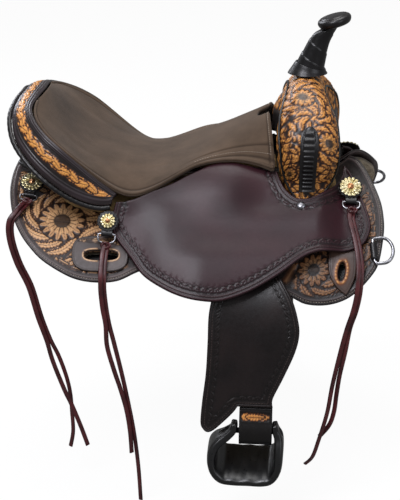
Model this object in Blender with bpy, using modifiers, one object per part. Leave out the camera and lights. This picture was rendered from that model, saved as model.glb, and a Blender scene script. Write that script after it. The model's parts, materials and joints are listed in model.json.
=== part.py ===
"""Western trail saddle: tree, horn, seat, skirts, jockeys, fenders, stirrups, conchos, dees and strings.

Run with: blender --background --python part.py
Metres, +Z up, +X towards the horn, +Y towards the horse's left side.
The origin is on the horse's back, under the middle of the seat.
"""

import math

import bmesh
import bpy
from mathutils import Matrix, Vector
from mathutils.geometry import delaunay_2d_cdt

MM = 0.001
GAP = 0.4

# Driving sizes, in millimetres

BACK_RADIUS = 275.0
SKIRT_INSIDE = 9.4
FLEECE_GAP = 1.4
FLEECE_DROP = 9.0
FLEECE_INSET = 6.0
STACK_GAP = 1.0
SKIRT_THICK = 4.6
PLATE_THICK = 3.0
JOCKEY_THICK = 3.6
FENDER_THICK = 4.2
SEAT_THICK = 11.0
PIVOT = (102.0, -128.0, 10.0)
FENDER_LEAN = math.radians(10.0)
BOLT_DROP = 345.0
BOLT_RADIUS = 4.5
STRING_HALF = 3.7
STRING_THICK = 2.6
WITHERS_RISE = 34.0
WITHERS_WIDTH = 115.0


def clear_scene():
    for obj in list(bpy.data.objects):
        bpy.data.objects.remove(obj, do_unlink=True)


clear_scene()
PARTS = bpy.data.collections.new("trail_saddle")
CUTTERS = bpy.data.collections.new("cutters")
bpy.context.scene.collection.children.link(PARTS)
bpy.context.scene.collection.children.link(CUTTERS)


def finish(name, colour, roughness, metallic=0.0):
    material = bpy.data.materials.new(name)
    material.use_nodes = True
    shader = material.node_tree.nodes["Principled BSDF"]
    shader.inputs["Base Color"].default_value = (*colour, 1.0)
    shader.inputs["Roughness"].default_value = roughness
    shader.inputs["Metallic"].default_value = metallic
    material.diffuse_color = (*colour, 1.0)
    return material


TOOLED = finish("tooled leather", (0.48, 0.25, 0.10), 0.5)
SMOOTH = finish("smooth brown leather", (0.06, 0.035, 0.035), 0.35)
BLACK = finish("black leather", (0.015, 0.014, 0.016), 0.4)
SUEDE = finish("suede", (0.16, 0.12, 0.09), 0.95)
STRING = finish("latigo leather", (0.09, 0.02, 0.02), 0.4)
FLEECE = finish("fleece", (0.55, 0.48, 0.38), 1.0)
WOOD = finish("rawhide covered wood", (0.50, 0.38, 0.22), 0.6)
NICKEL = finish("nickel plate", (0.75, 0.75, 0.78), 0.2, 1.0)
GOLD = finish("gold plate", (0.80, 0.68, 0.38), 0.3, 1.0)
STEEL = finish("steel", (0.55, 0.55, 0.56), 0.35, 1.0)


def through(stations, values):
    """A smooth function that passes through the values at the stations and stays level outside them."""
    count = len(stations)
    slopes = []
    for i in range(count):
        low, high = max(i - 1, 0), min(i + 1, count - 1)
        slopes.append((values[high] - values[low]) / (stations[high] - stations[low]))

    def read(at):
        at = min(max(at, stations[0]), stations[-1])
        i = 0
        while i < count - 2 and at > stations[i + 1]:
            i += 1
        width = stations[i + 1] - stations[i]
        t = (at - stations[i]) / width
        start = (2 * t**3 - 3 * t**2 + 1) * values[i] + (t**3 - 2 * t**2 + t) * width * slopes[i]
        end = (-2 * t**3 + 3 * t**2) * values[i + 1] + (t**3 - t**2) * width * slopes[i + 1]
        return start + end

    return read


def ease(value, start, end):
    """0 before start, 1 after end, with a smooth rise between."""
    t = min(max((value - start) / (end - start), 0.0), 1.0)
    return t * t * (3 - 2 * t)


def mix(a, b, t):
    return a + (b - a) * t


def point(x, y, z):
    return Vector((x * MM, y * MM, z * MM))


# The horse's back: an arch across, whose height and width change a little along the horse.
# A place on it is x along the horse and s, the distance down the side from the spine.

STATIONS = (-320, -160, 0, 160, 320)
back_height = through(STATIONS, (22, 6, 0, 8, 30))
back_half_width = through(STATIONS, (300, 290, 278, 265, 252))
back_depth = through(STATIONS, (250, 258, 270, 285, 300))


def withers(x, s):
    """How far the back has risen to the withers at a place, from 0 to 1."""
    return ease(x, 203, 272) * max(0.0, 1 - s / WITHERS_WIDTH) ** 1.4


def on_back(x, s, lift):
    """The point lift above the horse's right side."""
    angle = s / BACK_RADIUS
    wide, deep = back_half_width(x), back_depth(x)
    y = -wide * math.sin(angle)
    z = back_height(x) - deep * (1 - math.cos(angle))
    z += WITHERS_RISE * withers(x, s)
    out_y, out_z = -deep * math.sin(angle), wide * math.cos(angle)
    size = math.hypot(out_y, out_z)
    return (x, y + lift * out_y / size, z + lift * out_z / size)


# The upper leathers stand on the bars and the ground seat, so their lift grows towards the spine.

lift_at_rear = through((100, 120, 137, 160, 185, 215, 300), (72, 66, 54, 36, 24, 18.5, 18.5))
lift_at_seat = through((60, 84, 102, 125, 141, 180, 220, 260, 300), (76, 73, 68, 58, 51, 40, 31, 25, 22))
lift_at_front = through((20, 60, 107, 140, 175, 210, 300), (30, 27, 23, 21, 19.5, 18.5, 18.5))
WING_DIP = 7.0
SADDLE_RISE = 5.5
FENDER_ROOM = 44.0


def jockey_lift(x, s):
    """The lift of the seat jockey's inner face, which also leaves the fender room to swing."""
    lift = mix(lift_at_rear(s), lift_at_seat(s), ease(x, -120, -30))
    near_seat = 1 - ease(s, 120, 170)
    lift -= WING_DIP * ease(x, 60, 120) * near_seat
    lift += SADDLE_RISE * math.exp(-(((x - 45) / 50) ** 2)) * near_seat
    lift = mix(lift, lift_at_front(s), ease(x, 200, 244))
    room = ease(s, 150, 225) * (1 - ease(abs(x - PIVOT[0]), 78, 150))
    return lift + room * max(0.0, FENDER_ROOM - lift)


def bar_swell(x, s):
    """How thick the tree's bar is at a place."""
    along = 1 - ease(abs(x), 120, 235)
    across = max(0.0, 1 - ((s - 84) / 60) ** 2)
    return 4 + 15 * (0.25 + 0.75 * along) * across


def rear_jockey_lift(x, s):
    return SKIRT_INSIDE + SKIRT_THICK + 2.0 + bar_swell(x, s) + 3 * (1 - ease(s, 90, 120))


# Outlines


def curve_through(points, step):
    """Points about a step apart on a smooth open curve through the given ones."""
    found = []
    last = len(points) - 1
    for i in range(last):
        before = points[max(i - 1, 0)]
        start, end = points[i], points[i + 1]
        after = points[min(i + 2, last)]
        length = math.dist(start, end)
        pieces = max(1, round(length / step))
        for k in range(pieces):
            t = k / pieces
            found.append(
                tuple(
                    0.5
                    * (
                        2 * b
                        + (c - a) * t
                        + (2 * a - 5 * b + 4 * c - d) * t**2
                        + (3 * b - a - 3 * c + d) * t**3
                    )
                    for a, b, c, d in zip(before, start, end, after)
                )
            )
    found.append(tuple(points[-1]))
    return found


def with_middles(points):
    """The points with one more on the smooth curve between each two."""
    found = []
    last = len(points) - 1
    for i in range(last):
        near = (points[max(i - 1, 0)], points[i], points[i + 1], points[min(i + 2, last)])
        found.append(tuple(points[i]))
        found.append(tuple((9 * b + 9 * c - a - d) / 16 for a, b, c, d in zip(*near)))
    found.append(tuple(points[-1]))
    return found


def outline_of(runs, step):
    """A closed outline from smooth runs that meet at corners."""
    found = []
    for run in runs:
        found += curve_through(run, step)[:-1]
    return found


def oval(centre, half_x, half_s, turn=0.0, count=16, power=2.0):
    """A closed oval, or a rounded rectangle with a higher power."""
    points = []
    for k in range(count):
        angle = 2 * math.pi * k / count
        c, s = math.cos(angle), math.sin(angle)
        a = half_x * math.copysign(abs(c) ** (2 / power), c)
        b = half_s * math.copysign(abs(s) ** (2 / power), s)
        x = centre[0] + a * math.cos(turn) - b * math.sin(turn)
        y = centre[1] + a * math.sin(turn) + b * math.cos(turn)
        points.append((x, y))
    return points


def area(loop):
    return 0.5 * sum(a[0] * b[1] - b[0] * a[1] for a, b in zip(loop, loop[1:] + loop[:1]))


def inset(loop, distance):
    """The loop moved in by a distance."""
    sign = 1 if area(loop) > 0 else -1
    found = []
    for i, here in enumerate(loop):
        before, after = loop[i - 1], loop[(i + 1) % len(loop)]
        along = (after[0] - before[0], after[1] - before[1])
        step = sign * distance / math.hypot(*along)
        found.append((here[0] - along[1] * step, here[1] + along[0] * step))
    return found


def inside(at, loop):
    found = False
    for a, b in zip(loop, loop[1:] + loop[:1]):
        if (a[1] > at[1]) != (b[1] > at[1]):
            if at[0] < a[0] + (at[1] - a[1]) * (b[0] - a[0]) / (b[1] - a[1]):
                found = not found
    return found


def edge_distance(at, loop):
    best = 1e9
    for a, b in zip(loop, loop[1:] + loop[:1]):
        ab = (b[0] - a[0], b[1] - a[1])
        size = ab[0] ** 2 + ab[1] ** 2
        t = min(max(((at[0] - a[0]) * ab[0] + (at[1] - a[1]) * ab[1]) / size, 0.0), 1.0)
        best = min(best, math.hypot(at[0] - a[0] - t * ab[0], at[1] - a[1] - t * ab[1]))
    return best


def fill(loop, holes, step):
    """Even triangles that fill a flat outline: (points, faces)."""
    flat, edges = [], []
    for ring in [loop] + holes:
        first = len(flat)
        flat += ring
        edges += [(first + i, first + (i + 1) % len(ring)) for i in range(len(ring))]
    low_x, high_x = min(p[0] for p in loop), max(p[0] for p in loop)
    low_y, high_y = min(p[1] for p in loop), max(p[1] for p in loop)
    rows = int((high_y - low_y) / (step * 0.87)) + 1
    for row in range(1, rows):
        y = low_y + row * step * 0.87
        x = low_x + (0.5 if row % 2 else 0.0) * step
        while x < high_x:
            here = (x, y)
            clear = inside(here, loop) and edge_distance(here, loop) > 0.55 * step
            clear = clear and all(
                not inside(here, hole) and edge_distance(here, hole) > 0.4 * step for hole in holes
            )
            if clear:
                flat.append(here)
            x += step
    made = delaunay_2d_cdt([Vector(p) for p in flat], edges, [], 0, 1e-6)
    points, faces = made[0], []
    for face in made[2]:
        middle = sum((points[i] for i in face), Vector((0, 0))) / len(face)
        if inside(middle, loop) and not any(inside(middle, hole) for hole in holes):
            faces.append(face)
    return [tuple(p) for p in points], faces


# Object makers


def new_object(name, mesh, material, smooth=40.0):
    obj = bpy.data.objects.new(name, mesh)
    PARTS.objects.link(obj)
    mesh.materials.clear()
    mesh.materials.append(material)
    if smooth:
        mesh.shade_smooth()
        mesh.set_sharp_from_angle(angle=math.radians(smooth))
    return obj


def mesh_of(name, points, faces, outward=True):
    mesh = bpy.data.meshes.new(name)
    mesh.from_pydata([tuple(p) for p in points], [], faces)
    if outward:
        work = bmesh.new()
        work.from_mesh(mesh)
        bmesh.ops.recalc_face_normals(work, faces=work.faces)
        work.to_mesh(mesh)
        work.free()
    return mesh


def mirrored(obj, name):
    """The same piece on the horse's left side."""
    mesh = obj.data.copy()
    mesh.transform(Matrix.Scale(-1, 4, (0, 1, 0)))
    mesh.flip_normals()
    twin = bpy.data.objects.new(name, mesh)
    PARTS.objects.link(twin)
    place = obj.matrix_world.copy()
    flip = Matrix.Scale(-1, 4, (0, 1, 0))
    twin.matrix_world = flip @ place @ flip
    for old in obj.modifiers:
        new = twin.modifiers.new(old.name, old.type)
        new.thickness, new.offset = old.thickness, old.offset
    return twin


def both_sides(obj):
    """Names the piece as the right one and adds the left one."""
    base = obj.name
    obj.name = base + "_right"
    return obj, mirrored(obj, base + "_left")


def leather_on_back(name, loop, holes, lift, thick, material, step=22.0):
    """A leather panel on the horse's right side, whose inner face is at the given lift."""
    flat, faces = fill(loop, holes, step)
    points = [point(*on_back(x, s, lift(x, s))) for x, s in flat]
    mesh = mesh_of(name, points, faces, outward=False)
    if sum((p.normal.z - p.normal.y) * p.area for p in mesh.polygons) < 0:
        mesh.flip_normals()
    obj = new_object(name, mesh, material)
    solid = obj.modifiers.new("thickness", "SOLIDIFY")
    solid.thickness = thick * MM
    solid.offset = 1.0
    return obj


def slab(name, flat, faces, low, high, material):
    """A closed piece between two surfaces over one flat outline."""
    count = len(flat)
    points = [point(*low(x, s)) for x, s in flat] + [point(*high(x, s)) for x, s in flat]
    walls = {}
    for face in faces:
        for a, b in zip(face, face[1:] + face[:1]):
            if (b, a) in walls:
                del walls[(b, a)]
            else:
                walls[(a, b)] = True
    solid = [tuple(face) for face in faces]
    solid += [tuple(count + i for i in reversed(face)) for face in faces]
    solid += [(b, a, count + a, count + b) for a, b in walls]
    return new_object(name, mesh_of(name, points, solid), material)


def loft(name, rings, material, closed=False, smooth=40.0):
    """A skin over rings of equal point counts, capped at both ends unless the run is closed."""
    size = len(rings[0])
    points = [p for ring in rings for p in ring]
    faces = []
    spans = len(rings) if closed else len(rings) - 1
    for i in range(spans):
        a, b = i * size, ((i + 1) % len(rings)) * size
        faces += [(a + k, a + (k + 1) % size, b + (k + 1) % size, b + k) for k in range(size)]
    if not closed:
        faces += [tuple(range(size)), tuple(len(points) - 1 - k for k in range(size))]
    return new_object(name, mesh_of(name, points, faces), material, smooth)


def wire(name, route, radius, material, closed=False, sides=2):
    """A round wire along a route in millimetres."""
    curve = bpy.data.curves.new(name, "CURVE")
    curve.dimensions = "3D"
    curve.bevel_depth = radius * MM
    curve.bevel_resolution = sides
    curve.use_fill_caps = not closed
    spline = curve.splines.new("POLY")
    spline.points.add(len(route) - 1)
    for knot, place in zip(spline.points, route):
        knot.co = (*point(*place), 1.0)
    spline.use_cyclic_u = closed
    guide = bpy.data.objects.new(name + " guide", curve)
    PARTS.objects.link(guide)
    graph = bpy.context.evaluated_depsgraph_get()
    mesh = bpy.data.meshes.new_from_object(guide.evaluated_get(graph))
    bpy.data.objects.remove(guide)
    work = bmesh.new()
    work.from_mesh(mesh)
    bmesh.ops.remove_doubles(work, verts=work.verts, dist=0.00002)
    bmesh.ops.recalc_face_normals(work, faces=work.faces)
    work.to_mesh(mesh)
    work.free()
    return new_object(name, mesh, material)


def cutter(obj):
    """Turns a made object into a hidden cutting tool."""
    PARTS.objects.unlink(obj)
    CUTTERS.objects.link(obj)
    obj.hide_render = True
    obj.display_type = "WIRE"
    return obj


def bored(obj, tool):
    """Cuts the tool out of the object and keeps the result as its mesh."""
    hollow = obj.modifiers.new("bore", "BOOLEAN")
    hollow.object = tool
    hollow.operation = "DIFFERENCE"
    hollow.solver = "EXACT"
    graph = bpy.context.evaluated_depsgraph_get()
    mesh = bpy.data.meshes.new_from_object(obj.evaluated_get(graph))
    obj.modifiers.clear()
    obj.data = mesh
    return obj


def turned(profile, centre, axis, count):
    """Rings of (radius, distance along the axis) round a centre, in millimetres."""
    side = axis.orthogonal().normalized()
    up = axis.cross(side)
    rings = []
    for radius, along in profile:
        rings.append([p * MM for p in circle_ring(centre + axis * along, radius, radius, side, up, count)])
    return rings


# Skirts and their fleece

SKIRT_LOOP = outline_of(
    [
        [
            (-306, 14), (-304, 68), (-298, 114), (-285, 159), (-269, 189), (-251, 211), (-228, 231),
            (-192, 249), (-165, 256), (-135, 256), (-107, 250), (-75, 232), (-40, 222), (0, 220),
            (60, 228), (110, 246), (160, 268), (184, 280), (213, 284), (241, 280), (264, 268),
            (287, 245), (297, 226), (303, 190), (304, 160), (299, 120), (288, 84), (275, 52), (262, 27), (250, 10),
        ],
        [(250, 10), (205, 17), (150, 20), (0, 17), (-150, 13), (-306, 14)],
    ],
    24,
)
CINCH_SLOT = oval((-137, 214), 26, 8, math.radians(-5), 16, 3.0)
LATIGO_SLOT = oval((239, 237), 5.5, 14, math.radians(4), 14)


SLOT_CLEAR = 1.5


def skirt_lift(x, s):
    return SKIRT_INSIDE


def fleece_lift(x, s):
    """The fleece dips where the skirt rises over the withers, so that it still meets the horse."""
    return -FLEECE_DROP * withers(x, s)


def make_skirts():
    slots = [CINCH_SLOT, LATIGO_SLOT]
    both_sides(leather_on_back("skirt", SKIRT_LOOP, slots, skirt_lift, SKIRT_THICK, TOOLED, 36))
    wider = [inset(slot, -SLOT_CLEAR) for slot in slots]
    loop = inset(SKIRT_LOOP, FLEECE_INSET)
    thick = SKIRT_INSIDE - FLEECE_GAP
    both_sides(leather_on_back("skirt_fleece", loop, wider, fleece_lift, thick, FLEECE, 38))


def plate_lift(x, s):
    return SKIRT_INSIDE + SKIRT_THICK + STACK_GAP


def make_plates():
    """The plain leather plates that carry the rear cinch slot and the front latigo slot."""
    rear = oval((-139, 211), 44, 30, math.radians(-5), 28, 3.2)
    both_sides(
        leather_on_back("cinch_plate", rear, [CINCH_SLOT], plate_lift, PLATE_THICK, SMOOTH, 20)
    )
    front = outline_of(
        [
            [(219, 190), (218, 222), (221, 242), (232, 260), (247, 273)],
            [(247, 273), (257, 256), (262, 236), (261, 190)],
            [(261, 190), (219, 190)],
        ],
        9,
    )
    both_sides(
        leather_on_back("latigo_plate", front, [LATIGO_SLOT], plate_lift, PLATE_THICK, SMOOTH, 16)
    )


# Tree: bars, fork, cantle

BAR_LOOP = outline_of(
    [
        [
            (-222, 70), (-214, 40), (-150, 30), (0, 32), (150, 36), (214, 48), (228, 84), (214, 124),
            (150, 134), (60, 122), (-20, 124), (-120, 134), (-190, 128), (-218, 104), (-222, 70),
        ]
    ],
    24,
)


def bar_lift(x, s):
    """The lift of the bar's underside, a little more where the back rises to the withers."""
    return SKIRT_INSIDE + SKIRT_THICK + STACK_GAP + 3 * ease(x, 180, 215) * max(0.0, 1 - s / WITHERS_WIDTH)


def bar_low(x, s):
    return on_back(x, s, bar_lift(x, s))


def bar_high(x, s):
    return on_back(x, s, bar_lift(x, s) + bar_swell(x, s))


def make_bars():
    flat, faces = fill(BAR_LOOP, [], 26)
    both_sides(slab("tree_bar", flat, faces, bar_low, bar_high, WOOD))


def bar_top(x, y):
    """The height of the bar's upper face at a place, with y on either side."""
    low, high = 0.0, 200.0
    for _ in range(30):
        s = 0.5 * (low + high)
        if -bar_high(x, s)[1] < abs(y):
            low = s
        else:
            high = s
    return bar_high(x, s)[2]


HORN_TILT = math.radians(16)
CAP_CENTRE = (217, 0, 277)

# The fork is an arch across the horse. Each station of the arch is a distance round it from the top.

ARCH = (
    (0, 190), (34, 188), (66, 179), (100, 159), (130, 131), (146, 104), (147, 80), (142, 58), (139, 38), (145, 16),
)
GULLET = ((0, 96), (20, 94), (38, 87), (52, 76), (62, 62), (67, 50), (70, 40), (78, 33), (104, 27), (130, 12))
FORK_FRONT = (206, 208, 214, 225, 230, 231, 229, 223, 213, 197)
FORK_REAR = (144, 143, 140, 135, 134, 137, 140, 144, 151, 166)
FACE_LEAN = (26, 18, 10, 6, 6, 6, 6, 6, 6, 6)
FORK_STEP = 0.76
FORK_STOPS = 12
fork_stations = tuple(range(len(ARCH)))
arch_y = through(fork_stations, tuple(p[0] for p in ARCH))
arch_z = through(fork_stations, tuple(p[1] for p in ARCH))
gullet_y = through(fork_stations, tuple(p[0] for p in GULLET))
gullet_z = through(fork_stations, tuple(p[1] for p in GULLET))
fork_front = through(fork_stations, FORK_FRONT)
fork_rear = through(fork_stations, FORK_REAR)
face_lean = through(fork_stations, FACE_LEAN)


def fork_section(at, grow, open_below):
    """Points round the fork's beam at a station, starting inside the gullet at the front."""
    side = 1 if at >= 0 else -1
    k = abs(at)
    outer = Vector((0, arch_y(k), arch_z(k)))
    inner = Vector((0, gullet_y(k), gullet_z(k)))
    out = (outer - inner).normalized()
    outer += out * grow
    front, rear = fork_front(k) + grow, fork_rear(k) - grow
    round_off = 13.0
    shape = [
        (front - 4, 0.04 if open_below else 0.0),
        (front, 0.35),
        (front - 2, 0.8),
        (front - round_off - 6, 0.985),
        (0.5 * (front + rear), 1.0),
        (rear + round_off + 4, 0.985),
        (rear + 0.5, 0.8),
        (rear - face_lean(k) * 0.85, 0.42),
        (rear - face_lean(k), 0.04 if open_below else 0.0),
    ]
    if not open_below:
        shape.append((0.5 * (front + rear), 0.0))
    places = []
    for x, t in shape:
        place = inner.lerp(outer, t)
        places.append(point(x, side * place.y, place.z))
    return places


def fork_stops():
    """Places along the arch from its right foot to its left one."""
    return [FORK_STEP * k for k in range(-FORK_STOPS, FORK_STOPS + 1)]


def above_bar(place, clear):
    """The place, raised if need be to stand clear of the bar's upper face."""
    x, y, z = (v / MM for v in place)
    if z > 60:
        return place
    return point(x, y, max(z, bar_top(x, y) + clear))


FORK_GROW = -5.3
COVER_GROW = -3.2
COVER_THICK = 3.0


def make_fork():
    rings = [[above_bar(p, 2.2) for p in fork_section(at, FORK_GROW, False)] for at in fork_stops()]
    loft("tree_fork", rings, WOOD, smooth=50)


def make_swell_cover():
    """Tooled leather over the fork: its front, top and rear faces, open along the gullet."""
    rings = [[above_bar(p, 4.2) for p in fork_section(at, COVER_GROW, True)] for at in fork_stops()]
    size = len(rings[0])
    points = [p for ring in rings for p in ring]
    faces = []
    for i in range(len(rings) - 1):
        a, b = i * size, (i + 1) * size
        faces += [(a + k, a + k + 1, b + k + 1, b + k) for k in range(size - 1)]
    mesh = mesh_of("swell_cover", points, faces)
    if max(mesh.polygons, key=lambda p: p.center.z).normal.z < 0:
        mesh.flip_normals()
    obj = new_object("swell_cover", mesh, TOOLED, smooth=60)
    solid = obj.modifiers.new("thickness", "SOLIDIFY")
    solid.thickness = COVER_THICK * MM
    solid.offset = 1.0


def circle_ring(centre, radius_a, radius_b, across, up, count):
    angles = [2 * math.pi * k / count for k in range(count)]
    return [centre + across * (radius_a * math.cos(a)) + up * (radius_b * math.sin(a)) for a in angles]


NECK_STOPS = (0.0, 0.3, 0.65, 0.85, 1.0)
neck_x = through(NECK_STOPS, (176, 182, 191, 198, 209))
neck_z = through(NECK_STOPS, (190.8, 207, 234, 251, 265.4))
neck_radius = through(NECK_STOPS, (26, 22.5, 17.5, 15, 15.5))
neck_lean = through(NECK_STOPS, (0.0, 0.3, 0.38, 0.2, -0.279))


def horn_ring(t, grow, count=16):
    """A section of the horn's neck, with t from 0 at the swell to 1 under the cap."""
    centre = Vector((neck_x(t), 0, neck_z(t)))
    wide = neck_radius(t) + grow
    lean = neck_lean(t)
    across = Vector((math.cos(lean), 0, -math.sin(lean)))
    return [p * MM for p in circle_ring(centre, wide, wide * 0.96, across, Vector((0, 1, 0)), count)]


def make_horn():
    steps = [k / 7 for k in range(8)]
    loft("horn_core", [horn_ring(t, -4.6, 12) for t in steps], STEEL)
    outside = [horn_ring(t, 0.0) for t in steps]
    inside_rings = [horn_ring(t, -3.6) for t in steps]
    loft("horn_neck_wrap", outside + inside_rings[::-1], BLACK, closed=True, smooth=30)
    collar = ((0.0, 9.0), (0.07, 6.5), (0.24, 2.4), (0.24, 0.9), (0.07, 0.9), (0.0, 0.9))
    loft("horn_collar", [horn_ring(t, grow) for t, grow in collar], BLACK, closed=True, smooth=40)
    axis = Vector((-math.sin(HORN_TILT), 0, math.cos(HORN_TILT)))
    across = Vector((math.cos(HORN_TILT), 0, math.sin(HORN_TILT)))
    profile = ((7, -8.2), (22, -8.2), (28.4, -4.2), (29.6, 0), (28, 4.5), (20, 8), (9, 9.4))
    rings = []
    for radius, height in profile:
        centre = Vector(CAP_CENTRE) + axis * height
        ring = circle_ring(centre, radius * 0.93, radius * 1.06, across, Vector((0, 1, 0)), 24)
        rings.append([p * MM for p in ring])
    loft("horn_cap", rings, BLACK, smooth=60)


def make_swell_straps():
    """The ribbed strap that lies down each side of the swell."""
    rings = []
    for i in range(13):
        t = i / 12
        at = mix(3.95, 8.3, t)
        outer = Vector((0, arch_y(at), arch_z(at)))
        inner = Vector((0, gullet_y(at), gullet_z(at)))
        out = (outer - inner).normalized()
        half = 14.5 * math.sqrt(max(0.05, 1 - (1 - min(t / 0.16, 1.0)) ** 2)) * (1 - 0.12 * t)
        base, crown = outer + out * 1.6, outer + out * (4.8 if 0 < i < 12 else 3.4)
        centre = mix(184, 181, t)
        section = (
            (-half, base), (-half * 0.9, crown), (0, crown + out * 1.2), (half * 0.9, crown), (half, base), (0, base),
        )
        rings.append([point(centre + x, -place.y, place.z) for x, place in section])
    both_sides(loft("swell_strap", rings, SMOOTH, smooth=30))


# Seat, ground seat and cantle. Rows run across the seat from the cantle's crest to the fork.
# Each row: centre x, centre z, end x, end y, end z, and how late the row bends down or up.

SEAT_ROWS = (
    (-254, 155, -258.5, 45, 152.5, 2.0),
    (-250, 147, -260.5, 87, 145, 2.2),
    (-240, 131, -251, 127, 134, 2.6),
    (-222, 108, -229, 155, 118, 3.0),
    (-200, 86, -201, 169, 99, 3.0),
    (-174, 68, -174, 171.5, 77, 3.0),
    (-122, 50, -122, 165, 32, 2.8),
    (-92, 46, -92, 160, 21, 2.6),
    (-55, 49, -55, 148, 34, 2.6),
    (-16, 61, -16, 128, 56, 2.4),
    (12, 77, 12, 115, 69, 2.2),
    (69, 110, 69, 108, 73, 2.4),
)
WING_ROWS = ((97, 122, 103, 113, 66, 3.0), (108, 128, 119, 117, 61, 3.2), (116, 132, 132.5, 120, 56, 3.4))


def seat_top(row, v):
    """A point of the seat's upper face, with v from -1 at the right edge to 1 at the left."""
    cx, cz, ex, ey, ez, power = row
    t = abs(v)
    return Vector((mix(cx, ex, t * t), ey * v, mix(cz, ez, t**power)))


def seat_depth(v):
    """How thick the padding is, which thins towards the side edges."""
    return SEAT_THICK * (0.5 + 0.5 * (1 - abs(v) ** 3))


def seat_inward(i, v):
    """The direction through the padding at a row: down, but back against the cantle at its rear."""
    if i > 5:
        return Vector((0, 0, -1))
    if abs(v) > 0.6:
        return Vector((-0.45, 0.6 * math.copysign(1, v), -0.65)).normalized()
    return Vector((-0.8, 0, -0.6))


def make_seat():
    """The padded suede seat: dished at the cantle, narrow in the middle, with two wings beside the hand hole."""
    across = (-1.0, -0.86, -0.66, -0.42, -0.16, 0.16, 0.42, 0.66, 0.86, 1.0)
    rows = SEAT_ROWS + WING_ROWS
    top, low = [], []
    for i, row in enumerate(rows):
        for v in across:
            place = seat_top(row, v)
            crown = 5.0 * (1 - v**4) * math.sin(math.pi * min(i, 11) / 12)
            top.append(place + Vector((0, 0, crown)))
            low.append(place + seat_inward(i, v) * seat_depth(v) * (0.45 if i == 0 else 1.0))
    wide = len(across)
    count = len(top)
    faces = []
    hand_hole = {(12, 4), (13, 4)}
    cells = [(i, j) for i in range(len(rows) - 1) for j in range(wide - 1) if (i, j) not in hand_hole]
    edges = {}
    for i, j in cells:
        a, b, c, d = i * wide + j, i * wide + j + 1, (i + 1) * wide + j + 1, (i + 1) * wide + j
        faces += [(a, b, c, d), (count + d, count + c, count + b, count + a)]
        for pair in ((a, b), (b, c), (c, d), (d, a)):
            if (pair[1], pair[0]) in edges:
                del edges[(pair[1], pair[0])]
            else:
                edges[pair] = True
    faces += [(b, a, count + a, count + b) for a, b in edges]
    mesh = mesh_of("seat", [p * MM for p in top + low], faces)
    obj = new_object("seat", mesh, SUEDE, smooth=0)
    mesh.shade_smooth()
    rounded = obj.modifiers.new("soft form", "SUBSURF")
    rounded.levels = 1
    rounded.render_levels = 1


def make_ground_seat():
    """The firm leather under the padding, from the cantle to the fork."""
    rows = SEAT_ROWS[4:]
    across = [-0.72 + 0.18 * k for k in range(9)]
    top, low = [], []
    for i, row in enumerate(rows):
        for v in across:
            place = seat_top(row, v)
            back = seat_inward(i + 4, 0)
            down = seat_depth(v) + 2.4
            top.append(place + back * down)
            low.append(place + back * (down + 3.0))
    wide, count = len(across), len(rows) * len(across)
    faces = []
    for i in range(len(rows) - 1):
        for j in range(wide - 1):
            a, b, c, d = i * wide + j, i * wide + j + 1, (i + 1) * wide + j + 1, (i + 1) * wide + j
            faces += [(a, b, c, d), (count + d, count + c, count + b, count + a)]
    rim = [j for j in range(wide)] + [(i + 1) * wide - 1 for i in range(1, len(rows))]
    rim += [count - 1 - j for j in range(1, wide)] + [i * wide for i in range(len(rows) - 2, 0, -1)]
    faces += [(a, b, count + b, count + a) for a, b in zip(rim, rim[1:] + rim[:1])]
    new_object("ground_seat", mesh_of("ground_seat", [p * MM for p in top + low], faces), SMOOTH)


# Half of the cantle, from its middle to its right end: crest point, outer edge of the roll, foot of the back.

CREST = (
    (-259, 0, 158), (-262, 45, 155), (-264, 90, 147), (-252, 128, 135), (-230, 156, 119), (-203, 170, 100),
    (-176, 173, 78), (-150, 172, 55), (-127, 168, 36), (-112, 165, 24),
)
ROLL_EDGE = (
    (-296, 0, 151), (-299, 50, 146), (-299, 96, 131), (-286, 136, 104), (-258, 166, 77), (-226, 182, 52),
    (-194, 187, 31), (-163, 186, 17), (-138, 182, 12), (-119, 176, 15),
)
BACK_FOOT = (
    (-236, 0, 52), (-236, 34, 50), (-233, 66, 46), (-226, 92, 40), (-214, 112, 33), (-198, 126, 27),
    (-180, 134, 21), (-162, 139, 16), (-146, 142, 12), (-134, 144, 9),
)


BINDING_RADIUS = 4.0
BINDING_SECTION = [
    (BINDING_RADIUS * math.cos(math.pi * k / 3), BINDING_RADIUS * math.sin(math.pi * k / 3)) for k in range(6)
]


def both_halves(points):
    fine = with_middles(points)
    right = [Vector((x, -y, z)) for x, y, z in fine[:0:-1]]
    return right + [Vector(p) for p in fine]


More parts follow.
